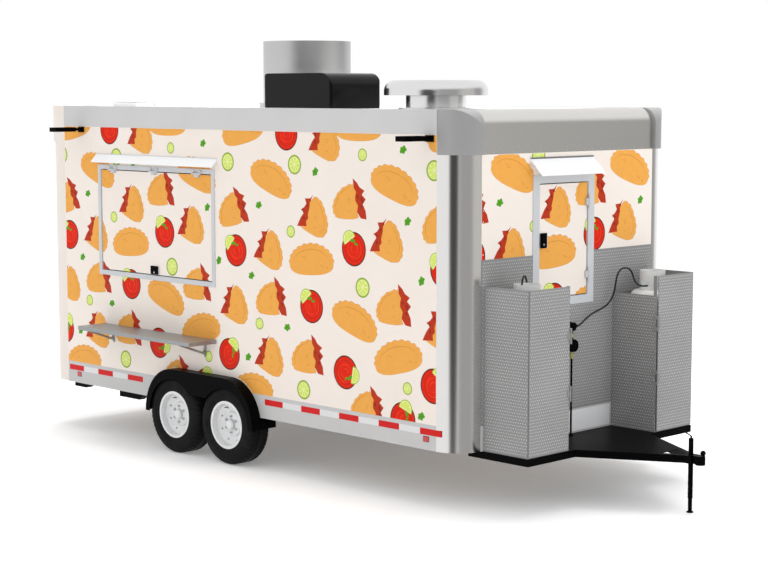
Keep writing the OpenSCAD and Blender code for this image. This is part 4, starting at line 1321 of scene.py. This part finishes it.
def herb_leaf():
    """A small leaf of five lobes: radius 1 + k cos 5t, with two darker veins."""
    t = np.linspace(0, 2 * math.pi, 40, endpoint=False)
    radius = 0.03 * (1 + 0.14 * np.cos(5 * t) + 0.12 * np.sin(2 * t))
    colours = paint()
    vein = darker(colours.leaf, 0.6)
    leaf = np.column_stack([1.15 * radius * np.cos(t), radius * np.sin(t)])
    veins = [
        (stroke([(-0.02, y), (0, y * 0.4), (0.02, -y * 0.5)], 0.003), vein) for y in (0.006, -0.008)
    ]
    return [(leaf, colours.leaf)] + veins


def cut(outline, axis, limit, keep_above):
    """The part of an outline on one side of a line: points inside stay, and each edge
    that crosses the line adds the point where it does."""
    value = outline[:, axis]
    inside = value >= limit if keep_above else value <= limit
    after = np.roll(outline, -1, 0)
    crosses = inside != np.roll(inside, -1)
    step = np.where(crosses, after[:, axis] - value, 1.0)
    where = outline + ((limit - value) / step)[:, None] * (after - outline)
    both = np.stack([outline, where], 1).reshape(-1, 2)
    return both[np.stack([inside, crosses], 1).ravel()]


def print_motifs():
    """Every motif of one repeat: (right, up, degrees, shapes)."""
    kinds = (
        (HALF_MOONS, half_moon()),
        (BITTEN_LEFT, bitten(BITE_LEFT, True)),
        (BITTEN_RIGHT, bitten(BITE_RIGHT, False)),
        (BOWLS, sauce_bowl()),
        (LIMES, lime_slice(0.08)),
        (SMALL_LIMES, lime_slice(0.05)),
        (LEAVES, herb_leaf()),
    )
    return [(*place, shapes) for places, shapes in kinds for place in places]


# No motif reaches further than this from its middle.
MOTIF_REACH = 0.3


def trimmed(outline, window):
    """The part of an outline inside a window, or None where nothing worth printing is left."""
    low_u, high_u, low_v, high_v = window
    edges = ((0, low_u, True), (0, high_u, False), (1, low_v, True), (1, high_v, False))
    for axis, limit, above in edges:
        if len(outline):
            outline = cut(outline, axis, limit, above)
    return outline if len(outline) > 2 and np.ptp(outline, axis=0).min() > 1e-4 else None


def print_panel(name, body, slot, face, windows, shift=0.0, rise=0.0):
    """Prints the motifs that fall in a panel's windows, each ink a layer over the last.

    windows are (left, right, low, high) in the face's own metres; shift and rise move
    the print's repeat on the panel."""
    piece = Piece(name, body, slot)
    layer, tile = size().film, size().tile
    left = min(w[0] for w in windows)
    right = max(w[1] for w in windows)
    for u, v, degrees, shapes in print_motifs():
        c, s = math.cos(math.radians(degrees)), math.sin(math.radians(degrees))
        first = math.floor((left - shift - u - MOTIF_REACH) / tile)
        last = math.ceil((right - shift - u + MOTIF_REACH) / tile)
        for k in range(first, last + 1):
            centre = np.array([u + shift + k * tile, v + rise])
            for window in windows:
                low, high = np.array(window[::2]), np.array(window[1::2])
                if np.any(centre <= low - MOTIF_REACH) or np.any(centre >= high + MOTIF_REACH):
                    continue
                for depth, (outline, ink) in enumerate(shapes):
                    placed = trimmed(outline @ np.array([[c, s], [-s, c]]) + centre, window)
                    if placed is not None:
                        piece.add(prism(placed, face, (depth + 1) * layer), 0, tuple(ink))
    return piece.make(printed_inks(), weld=False)


# The print keeps this far from a panel's edge, and follows the wheel arch in this many steps.
PRINT_EDGE = 0.003
ARCH_STEPS = 6


def ring_hole(opening, across, up):
    """An opening grown by the gap round its door and by the ring outside that."""
    left, right, low, high = opening
    across, up = across + DOOR_GAP, up + DOOR_GAP
    return (left - across, right + across, low - up, high + up)


def arch_strips():
    """Windows behind and in front of the wheels, stepped along the fender's arch.

    At a height h the arch reaches FENDER_REACH sqrt(1 - ((h - axle) / (top - axle))^2)
    beyond the axles."""
    strips = []
    levels = np.linspace(WALL_LOW, FENDER_TOP, ARCH_STEPS + 1)
    for low, high in zip(levels, levels[1:]):
        reach = FENDER_REACH * math.sqrt(1 - ((low - AXLE_H) / (FENDER_TOP - AXLE_H)) ** 2)
        strips.append((FLAT_REAR + PRINT_EDGE, AXLES[0] - reach, low, high))
        strips.append((AXLES[-1] + reach, FLAT_FRONT - PRINT_EDGE, low, high))
    return strips


def around(outer, hole, low):
    """Windows round a hole: beside it on both sides, above it and, if low, below it."""
    left, right, bottom, top = outer
    h_left, h_right, h_low, h_top = hole
    parts = [
        (left, h_left, bottom, top),
        (h_right, right, bottom, top),
        (h_left, h_right, h_top, top),
    ]
    return parts + ([(h_left, h_right, bottom, h_low)] if low else [])


class TRAILER_OT_wrap(bpy.types.Operator):
    """Prints the wrap's pastries, bowls, limes and leaves on walls, hatches and door"""

    bl_idname = "trailer.wrap"
    bl_label = "Printed wrap"

    def execute(self, context):
        edge = PRINT_EDGE
        strips = arch_strips()
        side = (FLAT_REAR + edge, FLAT_FRONT - edge, FENDER_TOP, WALL_TOP - edge)
        front = (-FLAT_Y + edge, FLAT_Y - edge, GUARD_TOP, CAST_LOW - edge)
        rear = (-FLAT_Y + edge, FLAT_Y - edge, WALL_LOW, WALL_TOP - edge)
        side_hatch = (*SIDE_X, *SIDE_H)
        front_hatch = (*FRONT_Y, *FRONT_H)
        rear_door = (-REAR_Y[1], -REAR_Y[0], *REAR_H)
        left_wall = [(-w[1], -w[0], w[2], w[3]) for w in (side, *strips)]
        right_wall = around(side, ring_hole(side_hatch, SIDE_RING, SIDE_RING), True) + strips
        front_wall = around(front, ring_hole(front_hatch, FRONT_RING, FRONT_RING_H), False)
        rear_wall = around(rear, ring_hole(rear_door, REAR_RING, REAR_RING), False)
        panels = (
            ("right_wall", "trailer", right_face(0, 0), right_wall, -2.75, 0.0),
            ("side_hatch", "side_hatch", right_face(0, 0), [side_hatch], -2.75, 0.0),
            ("left_wall", "trailer", left_face(0, 0), left_wall, 0.5, 0.0),
            ("front_wall", "trailer", front_face(0, 0), front_wall, -1.3, 0.1),
            ("front_hatch", "front_hatch", front_face(0, 0), [front_hatch], -1.3, 0.1),
            ("rear_wall", "trailer", rear_face(0, 0), rear_wall, 0.9, 0.0),
            ("rear_door", "rear_door", rear_face(0, 0), [rear_door], 0.9, 0.0),
        )
        for name, body, face, windows, shift, rise in panels:
            print_panel("print_" + name, body, "wall_film", face, windows, shift, rise)
        return {"FINISHED"}


# ---- Tread plate --------------------------------------------------------------------


# How high the bars stand, and how far they keep from a sheet's edge.
BAR_HIGH = 0.0014
BAR_MARGIN = 0.004


def tread_bar():
    """One raised bar: a long rhombus drawn in to a short ridge."""
    half, wide = size().bar_length / 2, size().bar_length / 5.5
    rim = [(-half, 0, 0), (0, -wide, 0), (half, 0, 0), (0, wide, 0)]
    points = np.array([*rim, (-half / 3, 0, BAR_HIGH), (half / 3, 0, BAR_HIGH)])
    quads = np.array([[0, 3, 2, 1]])
    sides = np.array([[0, 1, 4], [1, 5, 4], [1, 2, 5], [2, 3, 5], [3, 4, 5], [3, 0, 4]])
    return points, [quads, sides]


def bars_over(face, width, height, hole=None):
    """Places for bars over a sheet: a square grid whose bars turn 45 degrees either way."""
    pitch = size().bar_pitch
    rows, columns = (int((side - BAR_MARGIN) / pitch) for side in (height, width))
    places = []
    for i in range(columns):
        for j in range(rows):
            u = (i + 0.25 + 0.5 * (j % 2)) * pitch + (width - columns * pitch) / 2
            v = (j + 0.5) * pitch + (height - rows * pitch) / 2
            if hole and hole[0] < u < hole[1] and hole[2] < v < hole[3]:
                continue
            turn = math.pi / 4 if (i + j) % 2 else -math.pi / 4
            places.append(face.moved(u, v).turned(turn))
    return places


class TRAILER_OT_tread_plate(bpy.types.Operator):
    """Raises the bars of the tread plate on the stone guard, lockers and doors"""

    bl_idname = "trailer.tread_plate"
    bl_label = "Tread plate"

    def execute(self, context):
        bar = tread_bar()
        # The bars' pale colour is a painted highlight, not a lighter metal.
        metal = stock("tread_bars_painted_highlight")
        left, right, low, _ = ring_hole((*FRONT_Y, *FRONT_H), FRONT_RING, FRONT_RING_H)
        hole = (
            left + FLAT_Y - BAR_MARGIN,
            right + FLAT_Y + BAR_MARGIN,
            low - WALL_LOW - BAR_MARGIN,
            GUARD_TOP,
        )
        guard = front_face(-FLAT_Y, WALL_LOW, GUARD_OUT)
        places = bars_over(guard, 2 * FLAT_Y, GUARD_TOP - WALL_LOW, hole)
        piece = Piece("guard_bars", "trailer", "diamond_plate")
        piece.add(copies(bar, places)).make(metal, weld=False)
        tall, deep = LOCKER_TOP - DECK_H, LOCKER_FRONT - GUARD_OUT
        for side, sign in (("right", -1), ("left", 1)):
            ends = (GUARD_OUT, -LOCKER_FRONT) if sign < 0 else (-LOCKER_FRONT, GUARD_OUT)
            face = Face(at(0, sign * LOCKER_OUT, DECK_H), (-sign, 0, 0), (0, 0, 1))
            places = bars_over(face.moved(ends[0]), deep, tall)
            face = Face(at(0, sign * LOCKER_IN, DECK_H), (sign, 0, 0), (0, 0, 1))
            places += bars_over(face.moved(ends[1]), deep, tall - LOCKER_STEP)
            piece = Piece("locker_bars_" + side, "trailer", "diamond_plate")
            piece.add(copies(bar, places)).make(metal, weld=False)
            inner, outer = sorted((sign * DOOR_IN, sign * LOCKER_OUT))
            door = front_face(inner, DECK_H + DOOR_UP, DOOR_FACE)
            places = bars_over(door, outer - inner, tall - DOOR_UP)
            piece = Piece("locker_door_bars_" + side, "locker_door_" + side, "diamond_plate")
            piece.add(copies(bar, places)).make(metal, weld=False)
        return {"FINISHED"}


# ---- Tyres and wheels ----------------------------------------------------------------


# A tyre's radius and width, the rim's radius and the bead's distance from the middle.
TYRE_R = 0.345
TYRE_W = 0.22
RIM_R = 0.1905
BEAD = 0.0949

# Steps round the tyre in each pitch of its tread.
PITCH_STEPS = 8


def wheel_face(name):
    """The wheel's middle plane, facing outboard."""
    spot = JOINTS[name.removeprefix("wheel_") + "_roll"]
    sign = -1 if spot[1] < 0 else 1
    return Face((spot[0], sign * TYRE_Y, spot[2]), (-sign, 0, 0), (0, 0, 1))


def tyre_section():
    """The section's right half from bead to tread, as (radius, out), in order."""
    h = TYRE_W / 2
    bead = ((0, 0), (0.017, 0), (0.021, 0.007))
    points = [(RIM_R + up, BEAD + out) for up, out in bead]
    ribs = ((0.034, 0.006), (0.048, 0.004), (0.062, 0.002), (0.0645, -0.0005), (0.067, 0.0))
    points += [(RIM_R + up, h - inward) for up, inward in ribs]
    shoulder = (
        (0.07, 0.0), (0.05, 0.001), (0.036, 0.005), (0.026, 0.01), (0.0235, 0.009),
        (0.016, 0.014), (0.008, 0.022), (0.003, 0.032), (0.0, 0.042),
    )
    points += [(TYRE_R - down, h - inward) for down, inward in shoulder]
    tread = [0.06, 0.056, 0.053, 0.045, 0.042, 0.038, 0.024, 0.021, 0.018, 0.012, 0.009, 0.0]
    points += [(TYRE_R, w) for w in tread]
    return np.array(points)


def tyre_surface(face):
    """A tyre: the section turned round, its tread lowered by four grooves and, at each
    pitch, by slots that run out over the shoulder.

    radius = section radius - groove depth where the point lies in a groove or slot."""
    half = tyre_section()
    section = np.vstack([half, (half * (1, -1))[::-1][1:]])
    steps = size().pitches * PITCH_STEPS
    angle = np.arange(steps) * 2 * math.pi / steps
    radius = np.tile(section[:, 0], (steps, 1))
    across = np.abs(section[:, 1])
    groove = ((across > 0.05) & (across < 0.0565)) | ((across > 0.018) & (across < 0.0245))
    radius[:, groove & (section[:, 0] > TYRE_R - 0.001)] -= size().groove
    phase = (np.arange(steps) % PITCH_STEPS)[:, None]
    slot = (phase >= 6) & (across > 0.056)[None, :] & (section[:, 0] > TYRE_R - 0.024)[None, :]
    radius = np.where(slot, radius - 0.7 * size().groove, radius)
    sipe = (phase == 3) & ((across > 0.024) & (across < 0.046))[None, :]
    radius = np.where(sipe & (section[:, 0] > TYRE_R - 0.001)[None, :], radius - 0.004, radius)
    points = np.stack(
        [
            radius * np.cos(angle)[:, None],
            radius * np.sin(angle)[:, None],
            np.tile(section[:, 1], (steps, 1)),
        ],
        -1,
    )
    return face.put(points.reshape(-1, 3)), grid_faces(steps, len(section), True, True)


class TRAILER_OT_tyres(bpy.types.Operator):
    """Makes the four tyres with grooves, shoulder slots and sidewall ribs"""

    bl_idname = "trailer.tyres"
    bl_label = "Tyres"

    def execute(self, context):
        rubber = tyre_rubber()
        for name in WHEELS:
            place = name.removeprefix("wheel_")
            piece = Piece("tyre_tread_" + place, name, "tyre_rubber")
            piece.add(tyre_surface(wheel_face(name)))
            piece.make(rubber, smooth=32, replaces=("tyre_" + place,))
        return {"FINISHED"}


# The nuts' circle and seat, the valve's circle, and the hub cap's rim and the valve's
# stem as profiles of (radius, out).
NUT_CIRCLE = 0.0699
NUT_SEAT = 0.0405
VALVE_CIRCLE = 0.153
CAP_RING = ((0.0445, 0.043), (0.0475, 0.043), (0.0475, 0.05), (0.0465, 0.0525), (0.0445, 0.0525))
VALVE_STEM = (
    (0.0001, -0.002),
    (0.0045, 0.0),
    (0.005, 0.004),
    (0.0038, 0.012),
    (0.0036, 0.03),
    (0.0028, 0.034),
    (0.0001, 0.0342),
)


class TRAILER_OT_wheel_fittings(bpy.types.Operator):
    """Adds lug nuts, a hub cap rim and a valve to each wheel"""

    bl_idname = "trailer.wheel_fittings"
    bl_label = "Wheel fittings"

    def execute(self, context):
        turns = [math.radians(a) for a in range(30, 390, 60)]
        for name in WHEELS:
            face = wheel_face(name)
            nuts = [
                face.moved(NUT_CIRCLE * math.cos(a), NUT_CIRCLE * math.sin(a), NUT_SEAT)
                for a in turns
            ]
            piece = Piece("wheel_nuts_" + name.removeprefix("wheel_"), name, "wheel_silver")
            piece.add(copies(hex_nut(0.0125, 0.016), nuts), 0)
            piece.add(lathe(CAP_RING, face, 40, closed=True), 0)
            valve = face.moved(VALVE_CIRCLE * math.cos(2.0), VALVE_CIRCLE * math.sin(2.0), 0.03)
            piece.add(lathe(VALVE_STEM, valve, 12), 1)
            piece.make(stock("zinc_plate"), stock("seal_rubber"), smooth=35)
        return {"FINISHED"}


# ---- Tape, lamps and rivets -----------------------------------------------------------

# The tape's middle height on the skirts and at the rear, and its red blocks' rear ends.
# A white block follows each red one but those listed.
TAPE_H = 0.588
TAPE_REAR_H = 0.573
TAPE_STARTS = (-5.07, -4.613, -4.156, -2.24, -1.783, -1.326, -0.869, -0.412)
TAPE_ALONE = (-4.156, -0.412)


def both_sides():
    """The makers of the right and left faces with their names."""
    return ((right_face, "right"), (left_face, "left"))


def tape_block(face):
    """One block of tape with rounded corners."""
    return plate(face, size().tape_length, size().tape_width, 0.0006, 0.002, 0.0002, 0.0001)


class TRAILER_OT_reflective_tape(bpy.types.Operator):
    """Lays red and white reflective tape along the skirts and across the rear"""

    bl_idname = "trailer.reflective_tape"
    bl_label = "Reflective tape"

    def execute(self, context):
        long = size().tape_length
        red, white = tape_material("red_tape", "#CC0004"), tape_material("white_tape", "#DADADC")
        for make_face, side in both_sides():
            piece = Piece("tape_" + side, "trailer", "mill_aluminium")
            for start in TAPE_STARTS:
                middle = start + long / 2
                piece.add(tape_block(make_face(middle, TAPE_H)), 0)
                if start not in TAPE_ALONE:
                    piece.add(tape_block(make_face(middle + long, TAPE_H)), 1)
            piece.make(red, white, smooth=40)
        piece = Piece("tape_rear", "trailer", "mill_aluminium")
        for k in range(-4, 5):
            piece.add(tape_block(rear_face(k * long, TAPE_REAR_H)), k % 2)
        piece.make(red, white, smooth=40)
        return {"FINISHED"}


# Where the marker lamps, the tail lamps and the number plate sit.
MARKER_X = (-4.915, -0.347)
MARKER_H = 0.53
TAIL_Y = (-0.86, 0.86)
TAIL_H = 0.5
PLATE_Y = -0.46
PLATE_H = 0.497

# A tail lamp's lenses: shift along the lamp, width and material.
TAIL_LENSES = ((-0.072, 0.09, 0), (0.015, 0.07, 0), (0.085, 0.055, 2))


def lens(face, width, height, thick):
    """A lens: a low rounded block whose face is drawn in by a wide round."""
    return plate(face, width, height, thick, min(height, width) * 0.22, thick * 0.45)


class TRAILER_OT_lamps(bpy.types.Operator):
    """Adds marker lamps, tail lamps and the blank number plate"""

    bl_idname = "trailer.lamps"
    bl_label = "Lamps"

    def execute(self, context):
        red, base = lens_material("red_lens", "#D8110A"), stock("black_abs")
        for make_face, side in both_sides():
            piece = Piece("marker_lamps_" + side, "trailer", "black_plastic")
            for x in MARKER_X:
                face = make_face(x, MARKER_H)
                piece.add(plate(face, 0.066, 0.046, 0.0012, 0.008, 0.0004), 1)
                piece.add(lens(face.moved(0, 0, 0.0012), 0.06, 0.04, 0.0026), 0)
            piece.make(red, base, smooth=40)
        piece = Piece("tail_lamps", "trailer", "black_plastic")
        for y in TAIL_Y:
            face = rear_face(y, TAIL_H)
            piece.add(plate(face, 0.25, 0.085, 0.006, 0.02, 0.002), 1)
            for shift, wide, kind in TAIL_LENSES:
                piece.add(lens(face.moved(shift, 0, 0.006), wide, 0.066, 0.009), kind)
        face = rear_face(PLATE_Y, PLATE_H)
        piece.add(plate(face, 0.31, 0.095, 0.004, 0.012, 0.001), 1)
        piece.add(plate(face.moved(0, 0, 0.004), 0.3, 0.085, 0.0012, 0.01, 0.0004), 3)
        clear = lens_material("clear_lens", "#D9DCDD")
        piece.make(red, base, clear, stock("gloss_white_enamel"), smooth=40)
        return {"FINISHED"}


def row(make_face, start, end, pitch, h, out=0.0):
    """Faces evenly spaced along a level line."""
    count = max(1, round(abs(end - start) / pitch))
    return [make_face(start + (end - start) * k / count, h, out) for k in range(count + 1)]


# The header's two rivet rows above its lower edge, and how far the rows keep from its ends.
HEADER_ROWS = (0.015, 0.05)
HEADER_END = 0.03

# Wall rivets: their distance from the corners and how many stand above one another.
WALL_RIVET_IN = 0.018
WALL_RIVETS = 9

# Skirt rivets: height, pitch and the stretch the fenders cover.
SKIRT_RIVET_H = 0.548
SKIRT_RIVET_PITCH = 0.402
FENDERS_X = (-3.86, -2.18)

# The plate under the front wall: middle height, thickness, and its rivets' heights.
KICK_H = 0.546
KICK_THICK = 0.0015
KICK_RIVETS_H = (0.48, 0.61)


def header_places():
    """Two staggered rows along the header's lower edge."""
    edge, half_pitch = FLAT_Y - HEADER_END, size().cap_pitch / 2
    places = row(front_face, -edge, edge, 2 * half_pitch, CAST_LOW + HEADER_ROWS[0])
    edge -= half_pitch
    return places + row(front_face, -edge, edge, 2 * half_pitch, CAST_LOW + HEADER_ROWS[1])


def wall_places():
    """Columns beside the corner posts, front and rear."""
    places = []
    tall = CAST_LOW - 0.05 - GUARD_TOP
    for y in (-FLAT_Y + WALL_RIVET_IN, FLAT_Y - WALL_RIVET_IN):
        for k in range(WALL_RIVETS):
            places.append(front_face(y, GUARD_TOP + 0.04 + k * tall / WALL_RIVETS))
            places.append(rear_face(y, WALL_LOW + 0.06 + k * 0.24))
    return places


def low_places():
    """Pairs along the skirts, a row along each top rail and two rows on the kick plate."""
    places = []
    for make_face, _ in both_sides():
        for x in np.arange(FLAT_REAR + 0.12, FLAT_FRONT - 0.03, SKIRT_RIVET_PITCH):
            if not FENDERS_X[0] < x < FENDERS_X[1]:
                places += [make_face(x - 0.018, SKIRT_RIVET_H), make_face(x, SKIRT_RIVET_H)]
        ends = FLAT_REAR + 0.02, FLAT_FRONT - 0.02
        places += row(make_face, *ends, 0.15, ROOF_TOP - 0.02, 0.004)
    for y in np.arange(-0.49, 0.5, 0.245):
        places += [front_face(y, h, KICK_THICK) for h in KICK_RIVETS_H]
    return places


def rivet_piece(name, slot, shape, places, metal):
    """One piece that holds a rivet at each place."""
    Piece(name, "trailer", slot).add(copies(shape, places)).make(stock(metal), smooth=50)


class TRAILER_OT_rivets(bpy.types.Operator):
    """Sets the rivets of the header, walls, rails and skirts, and the kick plate"""

    bl_idname = "trailer.rivets"
    bl_label = "Rivets"

    def execute(self, context):
        head, small = dome(size().rivet, 0.0022), dome(0.004, 0.0018)
        rivet_piece("header_rivets", "cast_aluminium", head, header_places(), "zinc_plate")
        rivet_piece("wall_rivets", "wall_film", head, wall_places(), "gloss_white_enamel")
        # The kick plate takes white enamel, lighter than its mill aluminium: painted light that
        # lifts the shade between the lockers.
        kick = Piece("kick_plate", "trailer", "mill_aluminium")
        kick.add(plate(front_face(0, KICK_H), 1.05, 0.17, KICK_THICK, 0.004, 0.0005))
        kick.make(stock("gloss_white_enamel"), smooth=40)
        rivet_piece("skirt_rivets", "mill_aluminium", small, low_places(), "mill_finish_sheet")
        return {"FINISHED"}


# ---- Latches and drip strips -------------------------------------------------------


# How far out the closed latches start, and each latch: its piece's name, its body, its
# face's maker, its middle across and up, its width and its height.
LATCH_OUT = 0.014
LATCHES = (
    ("side_latch", "side_hatch", right_face, sum(SIDE_X) / 2, 1.6045, 0.11, 0.075),
    ("front_latch", "front_hatch", front_face, -0.3485, 2.031, 0.079, 0.119),
    ("rear_latch", "rear_door", rear_face, 0.605, 1.651, 0.07, 0.16),
)

# A latch's key barrel, as a profile of (radius, out) from the latch's back.
KEY_BARREL = (
    (0.0001, 0.0042),
    (0.0085, 0.0042),
    (0.0085, 0.0075),
    (0.0075, 0.0083),
    (0.0001, 0.0083),
)


def latch_plate(piece, face, width, height):
    """A latch: rounded cover and raised paddle in material 0, key barrel in material 1."""
    thick = 0.0045
    paddle = face.moved(0, height * 0.14, thick)
    piece.add(plate(face, width, height, thick, 0.01, 0.0015), 0)
    piece.add(plate(paddle, width * 0.6, height * 0.42, 0.004, 0.006, 0.0015), 0)
    piece.add(lathe(KEY_BARREL, face.moved(0, -height * 0.27), 20), 1)


class TRAILER_OT_latches(bpy.types.Operator):
    """Covers the latches of the side hatch, the front hatch and the rear door"""

    bl_idname = "trailer.latches"
    bl_label = "Latches"

    def execute(self, context):
        black, bright = stock("black_powder_coat"), stock("zinc_plate")
        for name, body, make_face, across, up, width, height in LATCHES:
            piece = Piece(name, body, "black_plastic")
            latch_plate(piece, make_face(across, up, LATCH_OUT), width, height)
            piece.make(black, bright, smooth=40)
        return {"FINISHED"}


# Each drip strip: its name, its place, its length, width and thickness, and its finish.
DRIP_STRIPS = (
    ("front", front_face(-0.115, 2.678), (0.77, 0.014, 0.012), "drip_strip_anodised"),
    ("side", right_face(sum(SIDE_X) / 2, 2.62), (1.75, 0.012, 0.01), "rail_powder_coat"),
)


class TRAILER_OT_drip_strips(bpy.types.Operator):
    """Adds the drip strips over the hatches"""

    bl_idname = "trailer.drip_strips"
    bl_label = "Drip strips"

    def execute(self, context):
        for name, face, dimensions, metal in DRIP_STRIPS:
            piece = Piece("drip_strip_" + name, "trailer", "frame_grey")
            piece.add(plate(face, *dimensions, 0.004, 0.003), 0)
            piece.make(stock(metal), smooth=40)
        return {"FINISHED"}


# ---- Gas fittings --------------------------------------------------------------------

# The unions under the regulators: foot, top and radius, and where they stand.
UNIONS = ((1.228, 1.288, 0.017), (1.07, 1.122, 0.016))
UNION_X = 0.053
UNION_Y = -0.035

# A union's hexagonal profile, as shares of its radius and height.
UNION_PROFILE = ((0, 0), (0.8, 0), (0.8, 0.2), (1, 0.24), (1, 0.6), (0.85, 0.66), (0.85, 1), (0, 1))

# Where a bottle's valve wheel stands, its radius and grip, and the spindle's profile.
VALVE_X = 0.2265
VALVE_Y = (-0.784, 0.784)
VALVE_H = 1.655
VALVE_R = 0.034
VALVE_GRIP = 0.0022
SPINDLE = ((0.0001, -0.05), (0.013, -0.05), (0.013, 0.018), (0.009, 0.022), (0.0001, 0.022))


def valve_wheel():
    """A hand wheel's outline with ten soft lobes: radius R + grip cos 10a."""
    outline = []
    for k in range(40):
        a = k * math.pi / 20
        r = VALVE_R + VALVE_GRIP * math.cos(10 * a)
        outline.append((r * math.cos(a), r * math.sin(a)))
    return outline


class TRAILER_OT_gas_fittings(bpy.types.Operator):
    """Adds the unions between the regulators and the bottles' valves"""

    bl_idname = "trailer.gas_fittings"
    bl_label = "Gas fittings"

    def execute(self, context):
        brass, black = stock("yellow_brass"), stock("black_powder_coat")
        piece = Piece("gas_unions", "trailer", "regulator_metal")
        for low, high, radius in UNIONS:
            profile = [(max(r * radius, 0.0001), h * (high - low)) for r, h in UNION_PROFILE]
            piece.add(lathe(profile, top_face(UNION_X, UNION_Y, low), 6), 0)
        piece.make(brass, smooth=30)
        piece = Piece("bottle_valves", "trailer", "regulator_metal")
        for y in VALVE_Y:
            face = top_face(VALVE_X, y, VALVE_H)
            piece.add(prism(valve_wheel(), face, 0.016), 1)
            piece.add(lathe(SPINDLE, face, 16), 0)
        piece.make(brass, black, smooth=40)
        return {"FINISHED"}


# ---- Add-on ------------------------------------------------------------------------

OPERATORS = (
    TRAILER_OT_stage,
    TRAILER_OT_hoses,
    TRAILER_OT_finishes,
    TRAILER_OT_wrap,
    TRAILER_OT_tread_plate,
    TRAILER_OT_tyres,
    TRAILER_OT_wheel_fittings,
    TRAILER_OT_reflective_tape,
    TRAILER_OT_lamps,
    TRAILER_OT_rivets,
    TRAILER_OT_latches,
    TRAILER_OT_drip_strips,
    TRAILER_OT_gas_fittings,
)


class TRAILER_PT_panel(bpy.types.Panel):
    """Lists the trailer's pieces in the sidebar"""

    bl_idname = "TRAILER_PT_panel"
    bl_label = "Food trailer"
    bl_space_type = "VIEW_3D"
    bl_region_type = "UI"
    bl_category = "Trailer"

    def draw(self, context):
        for group in (size(), paint()):
            for key in group.bl_rna.properties.keys():
                if key not in {"rna_type", "name"}:
                    self.layout.prop(group, key)
        for kind in OPERATORS:
            self.layout.operator(kind.bl_idname)


CLASSES = (TrailerSizes, TrailerColours, *OPERATORS, TRAILER_PT_panel)


def register():
    for kind in CLASSES:
        bpy.utils.register_class(kind)
    bpy.types.Scene.trailer_sizes = PointerProperty(type=TrailerSizes)
    bpy.types.Scene.trailer_colours = PointerProperty(type=TrailerColours)


def unregister():
    del bpy.types.Scene.trailer_colours
    del bpy.types.Scene.trailer_sizes
    for kind in reversed(CLASSES):
        bpy.utils.unregister_class(kind)


def main():
    register()
    for kind in OPERATORS:
        group, name = kind.bl_idname.split(".")
        getattr(getattr(bpy.ops, group), name)()


if __name__ == "__main__":
    main()
